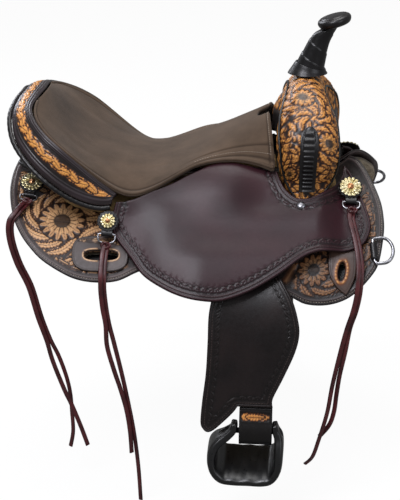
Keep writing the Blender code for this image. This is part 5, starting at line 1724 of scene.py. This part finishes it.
dark = 0.55 * top_side * np.clip(
    peak(beside - 0.93, 0.014) + front * peak(beside - 0.80, 0.012) + peak(seat_row - 13.3, 0.12), 0, 1
)
# Painted shade: the seat's dish is darker, and so is all of its underside.
dish_shade = top_side * peak(seat_row - 3.2, 2.2) * (1 - ease(beside, 0.2, 0.75))
# The lip and the front of the seat are lighter, partly wear and partly a painted highlight.
worn = top_side * (0.7 * peak(beside - 0.975, 0.02) + 0.35 * ease(seat_row, 8, 11) * (1 - beside))
carry(seat_mesh, {"dark": np.clip(dark + 0.35 * dish_shade + 0.6 * (1 - top_side), 0, 1), "worn": worn})
write_points(seat_mesh, seat_points)
seat = piece("seat_padded", seat_mesh, SUEDE, "saddle", ["seat"])


def on_seat(row, across, above=0.4):
    """A point of the finished seat's upper face."""
    gap = (seat_row - row) ** 2 + (8 * (seat_across - across)) ** 2 + 50 * (1 - seat_upper)
    near = np.argpartition(gap, 5)[:5]
    weight = 1 / (gap[near] + 1e-4)
    place = (seat_points[near] * weight[:, None]).sum(0) / weight.sum()
    return place + unit((normals[near] * weight[:, None]).sum(0)) * above


pipes, sewn = [], []
for side in (-1, 1):
    pipes.append(np.array([on_seat(r, side * 1.0, 0.2) for r in np.linspace(0.4, 14, 110)]))
    sewn.append(np.array([on_seat(r, side * 0.885, 0.3) for r in np.linspace(9.6, 13.4, 40)]))
    sewn.append(np.array([on_seat(13.5, side * a, 0.3) for a in np.linspace(0.885, 0.22, 40)]))
pipes = [denser(pipe[::3], 3) for pipe in pipes]
piece("seat_piping", welt("piping", pipes, 2.2), SUEDE, "saddle")
mesh = stitches([denser(way[::3], 3) for way in sewn], THREAD)
piece("seat_stitches", mesh, THREAD, "saddle")

# %% [markdown]
# The cantle rises behind the rider. Over its top lies a roll of leather with a carved band of leaves between
# two rows of beads, bound at the outer edge with a rolled strip that is sewn on.

# %% Cantle
CREST = (
    (-259, 0, 158), (-262, 45, 155), (-264, 90, 147), (-252, 128, 135), (-230, 156, 119), (-203, 170, 100),
    (-176, 173, 78), (-150, 172, 55), (-127, 168, 36), (-112, 165, 24),
)
ROLL_EDGE = (
    (-296, 0, 151), (-299, 50, 146), (-299, 96, 131), (-286, 136, 104), (-258, 166, 77), (-226, 182, 52),
    (-194, 187, 31), (-163, 186, 17), (-138, 182, 12), (-119, 176, 15),
)
BACK_FOOT = (
    (-236, 0, 52), (-236, 34, 50), (-233, 66, 46), (-226, 92, 40), (-214, 112, 33), (-198, 126, 27),
    (-180, 134, 21), (-162, 139, 16), (-146, 142, 12), (-134, 144, 9),
)
BINDING_RADIUS = 4.0
ROLL_FINE = 16


def both_halves(points, times):
    """A smooth line over both sides of the saddle, through points of its left half."""
    half = denser(np.array(points, float), times)
    return np.vstack([half[:0:-1] * (1, -1, 1), half])


crest, rim, foot = (both_halves(points, ROLL_FINE) for points in (CREST, ROLL_EDGE, BACK_FOOT))
roll_cut = slice(ROLL_FINE // 2, -(ROLL_FINE // 2))
crest, rim, foot = crest[roll_cut], rim[roll_cut], foot[roll_cut]
out = unit(rim - crest)
UP = np.array((0.0, 0.0, 1.0))
arc = run_along(0.5 * (crest + rim))
arc -= arc[-1] / 2
ACROSS_ROLL = 61
over = np.linspace(0, 1, ACROSS_ROLL)
inner, belly, far = crest - out * 1.2 - UP, mix(crest, rim, 0.5) + UP * 5, rim - out * 4.5
bow = (1 - over) ** 2, 2 * over * (1 - over), over**2
pulled = (inner, 2 * belly - 0.5 * inner - 0.5 * far, far)
skin = sum(share[None, :, None] * line[:, None] for share, line in zip(bow, pulled))
roll_normal = grid_normals(skin)
if roll_normal[..., 2].mean() < 0:
    roll_normal = -roll_normal
whole_width = np.linalg.norm(far - inner, axis=1)[:, None]
width = whole_width * over[None]
gap_to_rim = whole_width - width
middle_line = np.minimum(width - 9.5, gap_to_rim - 9.5)
from_middle = width - 0.5 * whole_width
roll_at = np.stack([np.broadcast_to(arc[:, None], width.shape), from_middle], -1).reshape(-1, 2)
field = bare_leather(roll_at)
SMALL_LEAF = ((0, -2), (9, -5.2), (19, -5.0))
LARGE_LEAF = ((-4, -2.6), (8, 1.4), (20, 2.6), (29, 1.2), (32, -2.2))
for k, start in enumerate(np.arange(-372, 372, 17.0)):
    side = 1 if k % 2 else -1
    for sweep, wide, veins in ((SMALL_LEAF, 3.6, 3.0), (LARGE_LEAF, 6.4, 4.2)):
        leaf(field, [(start + a, side * b) for a, b in sweep], wide, veins=veins)
lift, values = carved_values(field, ease(middle_line.ravel(), 0.0, 1.2), 1.1)
twin = peak(width - 3.0, 1.15) + peak(width - 6.2, 1.15)
outer_bead = peak(gap_to_rim - 4.4, 1.3)
line = peak(width - 8.2, 0.5) + peak(gap_to_rim - 7.4, 0.5)
lift = lift.reshape(width.shape) + 0.95 * twin + 0.7 * outer_bead - 0.4 * line
plain = ease(np.abs(arc), 330, 345)[:, None] * np.ones_like(width)
values = {key: v.reshape(width.shape) * (1 - plain) for key, v in values.items()}
values["dark"] = np.clip(values["dark"] + 0.6 * line + 0.25 * twin, 0, 0.9)
values["worn"] = 0.9 * np.clip(twin + outer_bead, 0, 1)
top = skin + roll_normal * (lift * (1 - plain) + 0.2)[..., None]
under = skin[:, ::-6] - UP * 4.6
for key, v in values.items():
    values[key] = np.hstack([v, np.full((len(v), under.shape[1]), 0.7 if key == "dark" else 0.0)])
mesh = ring_mesh("cantle roll", np.hstack([top, under]), values)
piece("cantle_roll_carved", mesh, TOOLED_LEATHER, "saddle", ["cantle_roll"])
binding_way = rim + out * 0.5 - UP * 2.5
sag = 1 - 0.10 * peak(np.arange(len(rim)) % 4 - 2, 1.0)
binding = cord_grid(binding_way, 1.0, 20)
binding = binding_way[:, None] + (binding - binding_way[:, None]) * (BINDING_RADIUS * sag)[:, None, None]
mesh = ring_mesh("cantle binding", binding)
piece("cantle_binding_rolled", mesh, BLACK_LEATHER, "saddle", ["cantle_binding"])
ways = [(inner + out * 4.5 + UP * 1.7)[4:-4], binding_way + UP * 3.9 - out * 2.2]
mesh = stitches(ways, DARK_THREAD)
piece("cantle_stitches", mesh, DARK_THREAD, "saddle")

# %% [markdown]
# A flat sheet of black leather closes the cantle's back. It is stretched over the wood, and its edges
# are glued under.

# %% Cantle back
beyond_back = 2 * ROLL_FINE - ROLL_FINE // 2
within = slice(beyond_back, -beyond_back)
crest_in, foot_in, out_in = crest[within], foot[within], out[within]
head = crest_in + out_in * 13 - UP * 9
heel = head + out_in * 8 - UP * 2
waist = mix(foot_in, heel, 0.5) - out_in * 2
away = unit(out_in * (1, 1, 0))
face = denser(np.stack([heel, waist, foot_in], 1), 10, 1)
back_grid = np.concatenate([face + away[:, None] * 4.2, face[:, ::-4] + away[:, None] * 1.0], 1)
edge_dark = np.zeros(back_grid.shape[:2])
edge_dark[:, :3] = 0.6
mesh = ring_mesh("cantle back", back_grid, {"dark": edge_dark})
piece("cantle_back_panel", mesh, BLACK_LEATHER, "saddle", ["cantle_back"])

# %% [markdown]
# The keeper folds round the stirrup's bolt, and a carved patch is let into it below the fender.

# %% Keeper, bolt and stirrup
KEEPER_HALF = 25.5
BOLT_RADIUS = 4.5
BOLT_HEAD = 6.6
BOLT_LEFT = -38.0
BOLT_RIGHT = 34.0
BORE_GAP = 0.4
keeper_top = on_fender(STRAP_CENTRE, KEEPER_TOP, 4.5)
bolt = on_fender(STRAP_CENTRE, BOLT_DROP, 4.5)
half_section = [(5.4, 0.0), (7.2, 12.0), (12.6, 33.0), (11.6, 49.0), (6.5, 57.0)]
section = [(-o, d) for o, d in half_section] + [(0.0, 58.8)] + half_section[::-1]
section = denser(np.array(section), 10)
KEEPER_COLUMNS = 96
PATCH_DROP = 13.0
columns = np.linspace(-KEEPER_HALF, KEEPER_HALF, KEEPER_COLUMNS)
side_out = unit(np.gradient(section, axis=0)[:, ::-1] * (1, -1))
if (side_out[:, 0] * section[:, 0]).sum() < 0:
    side_out = -side_out
along = run_along(section)
grid_at = np.stack(np.broadcast_arrays(columns[:, None], along[None, :]), -1).reshape(-1, 2)
patch_row = along[-1] - PATCH_DROP
patch_edge = np.minimum(KEEPER_HALF - 3 - np.abs(grid_at[:, 0]), 6.4 - np.abs(grid_at[:, 1] - patch_row))
field = bare_leather(grid_at)
for reach, wide in ((23.0, 8.0), (15.0, 5.5)):
    leaf(field, [(-reach, patch_row), (0, patch_row - 1.2), (reach, patch_row)], wide, veins=4.4)
lift, values = carved_values(field, ease(patch_edge, 0.4, 1.2), 0.9)
frame_line = peak(patch_edge + 1.4, 0.8)
side_bead = peak(KEEPER_HALF - np.abs(grid_at[:, 0]) - 2.0, 1.0)
values["dark"] = np.clip(values["dark"] + 0.6 * peak(patch_edge, 0.7), 0, 0.9)
values["worn"] = np.clip(frame_line + side_bead, 0, 1) * 0.6
lift = (lift + 0.5 * frame_line + 0.4 * side_bead).reshape(KEEPER_COLUMNS, -1)
grown = section[None] + side_out[None] * lift[..., None]
keeper_grid = keeper_top + columns[:, None, None] * np.array((1.0, 0, 0))
keeper_grid = keeper_grid + grown[..., :1] * OUT + grown[..., 1:] * DOWN
values = {key: v.reshape(lift.shape) for key, v in values.items()}
mesh = ring_mesh("stirrup keeper", keeper_grid, values)
pair("keeper_folded", mesh, KEEPER_LEATHER, "fender_body", "stirrup_keeper")


def about_bolt(steps):
    """Rings of (radius, place along the bolt) about the bolt's axis."""
    return np.array([ring(bolt + (x, 0, 0), (0, radius, 0), (0, 0, radius), 32) for radius, x in steps])


half_bolt = ((0.1, 3), (BOLT_HEAD - 0.8, 3), (BOLT_HEAD, 2.2), (BOLT_HEAD, 0), (BOLT_RADIUS, 0))
steps = [(r, BOLT_LEFT - out) for r, out in half_bolt] + [(r, BOLT_RIGHT + out) for r, out in half_bolt[::-1]]
mesh = ring_mesh("stirrup bolt", about_bolt(steps))
pair("bolt_turned", mesh, STEEL, "stirrup_body", "stirrup_bolt")

# %% [markdown]
# The stirrup is bent wood under black leather. Its tread slopes outwards, its arms are padded,
# and the leather is laced at the inside of the arms, which gives a raised edge.

# %% Stirrup
STIRRUP_KNOTS = (
    (-33, -13, 11, 9, 0), (-35, -3, 13, 12, 0), (-45, 7, 17, 14, 0), (-60, 18, 24, 14, 3),
    (-67, 32, 31, 14, 8), (-65, 47, 37, 14, 14), (-53, 58, 40, 14, 18), (-34, 61, 41, 13, 18),
    (-10, 61, 41, 13, 18), (12, 61, 41, 13, 18), (26, 57, 40, 14, 18), (35, 47, 37, 14, 14),
    (37, 32, 31, 14, 8), (37, 18, 24, 14, 3), (36, 7, 17, 13, 0), (32, -3, 13, 11, 0), (30, -13, 11, 8, 0),
)
knots = denser(np.array(STIRRUP_KNOTS, float), 8)
along = unit(np.gradient(knots[:, :2], axis=0) * (1, -1))
STIRRUP_SIDES = 64
TREAD_WAVE = 24.0
turn = steps_round(STIRRUP_SIDES)
turns = ((np.cos(turn), 0.42), (np.sin(turn), 0.55))
flat_a, flat_b = (np.sign(v) * np.abs(v) ** power for v, power in turns)
rings, dark = [], []
for (x, drop, half, thick, slope), way in zip(knots, along):
    tilt = math.radians(slope)
    across = np.array((0, math.cos(tilt), math.sin(tilt)))
    out = np.array((way[1], 0, -way[0]))
    tread = ease(drop, 40, 56)
    seam = peak(np.abs(flat_a) - 0.86, 0.035) * (flat_b > 0)
    quilt = 0.6 * tread * math.cos(2 * math.pi * (x + 22) / TREAD_WAVE) * ease(-flat_b, 0.2, 0.9)
    bulge = 0.5 * thick * flat_b * (1 + 0.06 * (1 - flat_a**2)) - 0.9 * seam
    rings.append(bolt + (x, 0, -drop) + np.outer(half * flat_a, across) + np.outer(bulge + quilt, out))
    dark.append(0.6 * seam)
shell = ring_mesh("stirrup", np.array(rings), {"dark": np.array(dark)})


def bored_at_eyes(mesh):
    """The mesh with the bolt's holes through both eyes, and the seats of the bolt's heads."""
    wide, head_wide = BOLT_RADIUS + BORE_GAP, BOLT_HEAD + BORE_GAP
    left, right = BOLT_LEFT + BORE_GAP, BOLT_RIGHT - BORE_GAP
    steps = [(head_wide, -80), (head_wide, left), (wide, left)]
    steps += [(wide, right), (head_wide, right), (head_wide, 80)]
    drill = in_scene("drill", ring_mesh("drill", about_bolt(steps)))
    made = worked(mesh, "BOOLEAN", operation="DIFFERENCE", object=drill, solver="EXACT")
    bpy.data.objects.remove(drill)
    return made


pair("stirrup_covered", bored_at_eyes(shell), STIRRUP_LEATHER, "stirrup_body", "stirrup")

# %% [markdown]
# A concho is a stamped metal daisy. Round it stands a leather rosette with a scalloped edge, in two layers.
# The petals are all alike, so one petal is placed by a Geometry Nodes tree as many times as it is needed.


# %% Petals
def petal_mesh(long, half):
    """One raised petal from its foot at the origin, along +X, with a crease down its middle."""
    grid = []
    for t in np.linspace(0, 1, 8):
        tip = math.sqrt(max(0.02, 1 - max(0.0, (t - 0.72) / 0.29) ** 2))
        wide = half * (0.34 + 0.66 * math.sin(math.pi * min(t * 1.15, 1.0) / 2)) * tip
        across = np.linspace(-1, 1, 7)
        raised = 1.5 * (1 - across**2) * (1 - 0.5 * t) - 0.5 * peak(across, 0.2) + 0.5 * t
        under = [(r, -0.4) for r in (1, 0, -1)]
        grid.append([(long * t, wide * r, z) for r, z in [*zip(across, raised), *under]])
    return ring_mesh("petal", np.array(grid))


def daisy_tree():
    """Copies of one petal, spread evenly round an axis."""
    tree, given = new_tree("daisy", Count="Int", Foot="Float")
    round_axis = {"Vertices": given["Count"], "Radius": given["Foot"]}
    feet = add(tree, "GeometryNodeMeshCircle", round_axis).outputs[0]
    place = add(tree, "GeometryNodeInputPosition").outputs[0]
    turn = add(tree, "FunctionNodeAlignRotationToVector", {"Vector": place}, axis="X", pivot_axis="Z")
    inputs = {"Points": feet, "Instance": given["Geometry"], "Rotation": turn.outputs[0]}
    return close_tree(tree, given, add(tree, "GeometryNodeInstanceOnPoints", inputs).outputs[0])


DAISY = daisy_tree()


def placed(mesh, frame_of):
    """The mesh moved from its own axes to a place on the saddle."""
    here, ahead, down, out = (np.asarray(v, float) for v in frame_of)
    found = read_points(mesh)
    write_points(mesh, here + found[:, :1] * ahead + found[:, 1:2] * -down + found[:, 2:] * out)
    return mesh


def daisy(long, half, count, foot, material, frame_of):
    inputs = {"Count": count, "Foot": foot * MM, "Material": material}
    return placed(worked(petal_mesh(long, half), "NODES", inputs, node_group=DAISY), frame_of)


# %% [markdown]
# Each concho leans a little, as its disc stands on a dee's tab. The string dee is one wire bent to a D,
# and its bar turns in a fold of leather, the tab.

# %% Conchos, string dees and tabs
CONCHO_STAND = 3.6
PETALS = {"rear": 15, "middle": 13, "front": 15}
TAB_HALF = 8.6


def tilted(ahead, down, out, degrees):
    turn = math.radians(degrees)
    return ahead, down * math.cos(turn) - out * math.sin(turn), out * math.cos(turn) + down * math.sin(turn)


def rosette(frame_of, radius, base, lobes, turn):
    """A leather disc with a scalloped edge and a bead pressed inside it."""
    here, ahead, down, out = frame_of
    count = lobes * 10
    scallop = 0.93 + 0.07 * np.abs(np.cos(lobes / 2 * steps_round(count) + turn))
    profile = (
        (0.05, -1.0), (0.9, -1.0), (0.985, -0.6), (1.0, 0), (0.985, 0.7), (0.93, 1.1), (0.88, 0.6),
        (0.84, 1.1), (0.6, 1.2), (0.05, 1.2),
    )
    rings = []
    for share, high in profile:
        reach = radius * share * (scallop if share > 0.3 else np.ones(count))[:, None]
        rings.append(ring(here + out * (base + high), reach * ahead, reach * down, count))
    dark = np.zeros((len(profile), count))
    dark[6] = 0.7
    return ring_mesh("rosette", np.array(rings), {"dark": dark})


def dee_wire(name, centre, ahead, down, half, deep, corner, radius):
    """A wire bent to a D. Its straight bar lies at the centre, and its bow reaches down by deep."""
    bow = [(half * math.cos(a), deep * (0.45 + 0.55 * math.sin(a))) for a in np.linspace(0, math.pi, 17)]
    route = [(-half + corner, 0), (half - corner, 0), (half - 0.25 * corner, 0.25 * corner), (half, corner)]
    route += [*bow, (-half, corner), (-half + 0.25 * corner, 0.25 * corner)]
    way = np.array([centre + ahead * a + down * b for a, b in route])
    way = denser(np.vstack([way[-3:], way, way[:3]]), 3)[9:-9]
    return ring_mesh(name, cord_grid(way, radius, 16, True), None, True)


for name, (x, s, petal, disc, drop, tilt) in SPOTS.items():
    here, ahead, down, out = spot_frame(x, s, spot_lift(name))
    stand = CONCHO_STAND + disc * math.sin(math.radians(tilt))
    here = here + out * stand
    flower = (here, *tilted(ahead, down, out, tilt))
    count = PETALS[name]
    stem = turned_on(flower, [(7.0, 0.0), (7.0, 4.4), (2.0, 4.4)], np.ones(24))
    low_disc = rosette(flower, disc, 5.2, 16, 0.0)
    high_disc = rosette(flower, disc * 0.93, 6.4, 16, 0.5 * math.pi)
    mesh = joined("rosettes", (ring_mesh("stem", stem), low_disc, high_disc))
    pair("rosette_" + name, mesh, BLACK_LEATHER, "saddle", "concho_" + name)
    face = (flower[0] + flower[3] * 7.9, *flower[1:])
    dished = [(petal * 0.9, -0.3), (petal * 0.86, 0.3), (petal * 0.5, 0.2), (petal * 0.3, 0.5), (0.3, 0.6)]
    lower_row = daisy(petal * 0.70, petal * 0.19, count, petal * 0.30, GOLD, face)
    raised = (face[0] + face[3] * 0.9, *face[1:])
    upper_row = daisy(petal * 0.46, petal * 0.15, count, petal * 0.24, GOLD, raised)
    mesh = joined("daisy", (ring_mesh("dish", turned_on(face, dished, np.ones(48))), lower_row, upper_row))
    pair("daisy_" + name, outward(mesh), GOLD, "saddle")
    boss = [(0.31, 0.9), (0.31, 2.2), (0.27, 2.9), (0.22, 2.3), (0.2, 2.6), (0.12, 3.6), (0.01, 3.8)]
    lobed = 0.97 + 0.03 * np.cos(12 * steps_round(32))
    mesh = ring_mesh("boss", turned_on(face, [(petal * r, h) for r, h in boss], lobed))
    pair("boss_" + name, mesh, COPPER, "saddle")
    bar, ahead, down, out = dee_frame(name)
    mesh = dee_wire("string dee", bar, ahead, down, DEE_HALF, DEE_DEEP, 3.0, DEE_WIRE)
    pair("dee_" + name, mesh, NICKEL, name + "_dee_body", "string_dee_" + name)
    inner, outer, end = DEE_WIRE + 0.7, DEE_WIRE + 2.3, 6 - drop
    bend = np.linspace(0, math.pi, 10)
    over, back = ([(gap * math.sin(a), gap * math.cos(a)) for a in bend] for gap in (outer, inner))
    profile = np.array([(end, 3.2), *over, (end, -outer), (end, -inner), *back[::-1], (end, 1.6)])
    folded = bar + profile[:, :1] * down + profile[:, 1:] * out
    tab = np.array([folded + ahead * x for x in (-TAB_HALF, 0.4 - TAB_HALF, TAB_HALF - 0.4, TAB_HALF)])
    pair("dee_tab_" + name, ring_mesh("dee tab", tab), BLACK_LEATHER, "saddle")

# %% [markdown]
# Two strings hang from each dee on the near side. Above the dee's bow they are knotted through themselves.

# %% Knots
KNOT_SIDES = 39
for name in SPOTS:
    bar, ahead, down, out = dee_frame(name)
    bow = bar + down * (DEE_DEEP + 1.5)
    ways = []
    for sense, reach in ((1, 6.4), (-1, 5.6)):
        loop = ring(bow + sense * ahead + 2.4 * down, reach * ahead, 4.2 * down, KNOT_SIDES)
        over_under = 2.6 + 1.4 * sense * np.cos(2 * steps_round(KNOT_SIDES))
        ways.append(loop + np.outer(over_under, out))
    mesh = welt("knot", ways, 1.9, True, 10)
    piece("string_knot_" + name, mesh, STRING_LEATHER, "saddle")

# %% [markdown]
# The breast collar buckles to a dee at the front of each skirt. A folded keeper holds the dee's bar.

# %% Breast collar dees
BREAST_SPOT = (288, 212)
BREAST_WIRE = 2.6
here, ahead, down, out = spot_frame(*BREAST_SPOT, lambda x, s: SKIRT_INSIDE + SKIRT_THICK + 6.4 + 0 * x)
fold = (
    (4.9, -13.5), (5.4, -12.6), (5.6, -10), (5.4, -6), (5.4, 6), (5.6, 10), (5.4, 12.6), (4.9, 13.5),
    (BREAST_WIRE + 0.4, 13.5), (BREAST_WIRE + 0.4, -13.5),
)
rings = np.array([ring(here + down * d, radius * ahead, radius * out, 40) for radius, d in fold])
mesh = ring_mesh("breast dee keeper", rings, None, True)
pair("breast_keeper_folded", mesh, BLACK_LEATHER, "saddle", "breast_dee_keeper")
mesh = dee_wire("breast dee", here, -down, ahead, 21.0, 30.0, 5.0, BREAST_WIRE)
pair("breast_dee_wire", mesh, NICKEL, "breast_dee_body", "breast_dee")

# %% [markdown]
# The tree and the ground seat are seen only from below. They keep their solid forms, and get finishes
# of their own: rawhide laced wet over wood, and plain firm leather.

# %% Parts kept from the frame
KEPT_FINISHES = {
    "tree_bar_right": RAWHIDE, "tree_bar_left": RAWHIDE, "tree_fork": RAWHIDE, "tree_cantle": RAWHIDE,
    "ground_seat": SMOOTH_LEATHER, "horn_core": STEEL,
}
for obj in bpy.data.objects:
    finish_of = KEPT_FINISHES.get(obj.name)
    if finish_of:
        obj.data.materials.clear()
        obj.data.materials.append(finish_of)

# %% [markdown]
# The photo has a white ground without a horizon, and soft light from all round, stronger from above.
# A pale floor takes the saddle's shadow. To the camera the floor and the world are close to white.

# %% Stage
FLOOR_DROP = -0.4725
FLOOR_HALF = 24.0
WORLD_LEVEL = 0.5
GLOSSY_LEVEL = 0.22


def floor_finish():
    """A matt floor that looks near-white to the camera and keeps a soft shadow."""
    material, tree, shader = blank("studio floor")
    tree.nodes.remove(shader)
    out = next(node for node in tree.nodes if node.bl_idname == "ShaderNodeOutputMaterial")
    ray = add(tree, "ShaderNodeLightPath").outputs
    shades = {0: ray["Is Camera Ray"], 6: colour("#a8a6a4"), 7: colour("#f6f6f6")}
    shade = add(tree, "ShaderNodeMix", shades, data_type="RGBA").outputs[2]
    matt = add(tree, "ShaderNodeBsdfDiffuse", {"Color": shade})
    glow = add(tree, "ShaderNodeEmission", {"Color": colour("#ffffff"), "Strength": 1.0})
    mirrored = add(tree, "ShaderNodeEmission", {"Color": colour("#ffffff"), "Strength": GLOSSY_LEVEL})
    seen = add(tree, "ShaderNodeMath", {0: ray["Is Camera Ray"], 1: 0.93}, operation="MULTIPLY").outputs[0]
    both = add(tree, "ShaderNodeMixShader", {0: seen, 1: matt.outputs[0], 2: glow.outputs[0]}).outputs[0]
    whole = add(tree, "ShaderNodeMixShader", {0: ray["Is Glossy Ray"], 1: both, 2: mirrored.outputs[0]})
    tree.links.new(whole.outputs[0], out.inputs["Surface"])
    return material


def studio_world():
    world = bpy.data.worlds.new("studio")
    bpy.context.scene.world = world
    world.use_nodes = True
    tree = world.node_tree
    tree.nodes.clear()
    ray = add(tree, "ShaderNodeLightPath").outputs
    lit = {"Value": ray["Is Glossy Ray"], "To Min": WORLD_LEVEL, "To Max": GLOSSY_LEVEL}
    level = add(tree, "ShaderNodeMapRange", lit).outputs["Result"]
    seen = {"Value": ray["Is Camera Ray"], "To Min": level, "To Max": 1.0}
    strength = add(tree, "ShaderNodeMapRange", seen).outputs["Result"]
    light = add(tree, "ShaderNodeBackground", {"Color": colour("#ffffff"), "Strength": strength})
    add(tree, "ShaderNodeOutputWorld", {"Surface": light.outputs["Background"]})


def soft_light(name, place, target, size, power, tint="#ffffff"):
    lamp = bpy.data.lights.new(name, "AREA")
    lamp.shape, lamp.size, lamp.energy = "DISK", size, power
    lamp.color = colour(tint)[:3]
    obj = in_scene(name, lamp)
    obj.location = place
    obj.rotation_euler = (Vector(target) - Vector(place)).to_track_quat("-Z", "Y").to_euler()
    return obj


studio_world()
corners = [(x * FLOOR_HALF, y * FLOOR_HALF, FLOOR_DROP) for x, y in ((-1, -1), (1, -1), (1, 1), (-1, 1))]
floor_mesh = bpy.data.meshes.new("floor")
floor_mesh.from_pydata(corners, [], [(0, 1, 2, 3)])
floor_mesh.materials.append(floor_finish())
floor = in_scene("floor", floor_mesh)
MIDDLE = (0.0, 0.0, -0.1)
lamps = [
    soft_light("key", (-1.0, -1.8, 2.9), MIDDLE, 1.7, 82.0, "#f6f7ff"),
    soft_light("fill", (2.4, -2.2, 1.5), MIDDLE, 2.0, 20.0, "#f3f6ff"),
    soft_light("top", (0.2, 0.5, 2.6), MIDDLE, 1.8, 34.0),
    soft_light("rim", (-1.6, 2.0, 1.4), MIDDLE, 1.2, 22.0, "#f3f6ff"),
]
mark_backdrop(floor, *lamps)
print("stage:", len(lamps), "lamps")

# %% [markdown]
# The outer size is printed, now with all finished pieces in place.

# %% Outer size
full_box = [list(corner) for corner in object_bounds()]
for axis, low, high in zip("xyz", *full_box):
    print(axis, round(low, 4), round(high, 4))
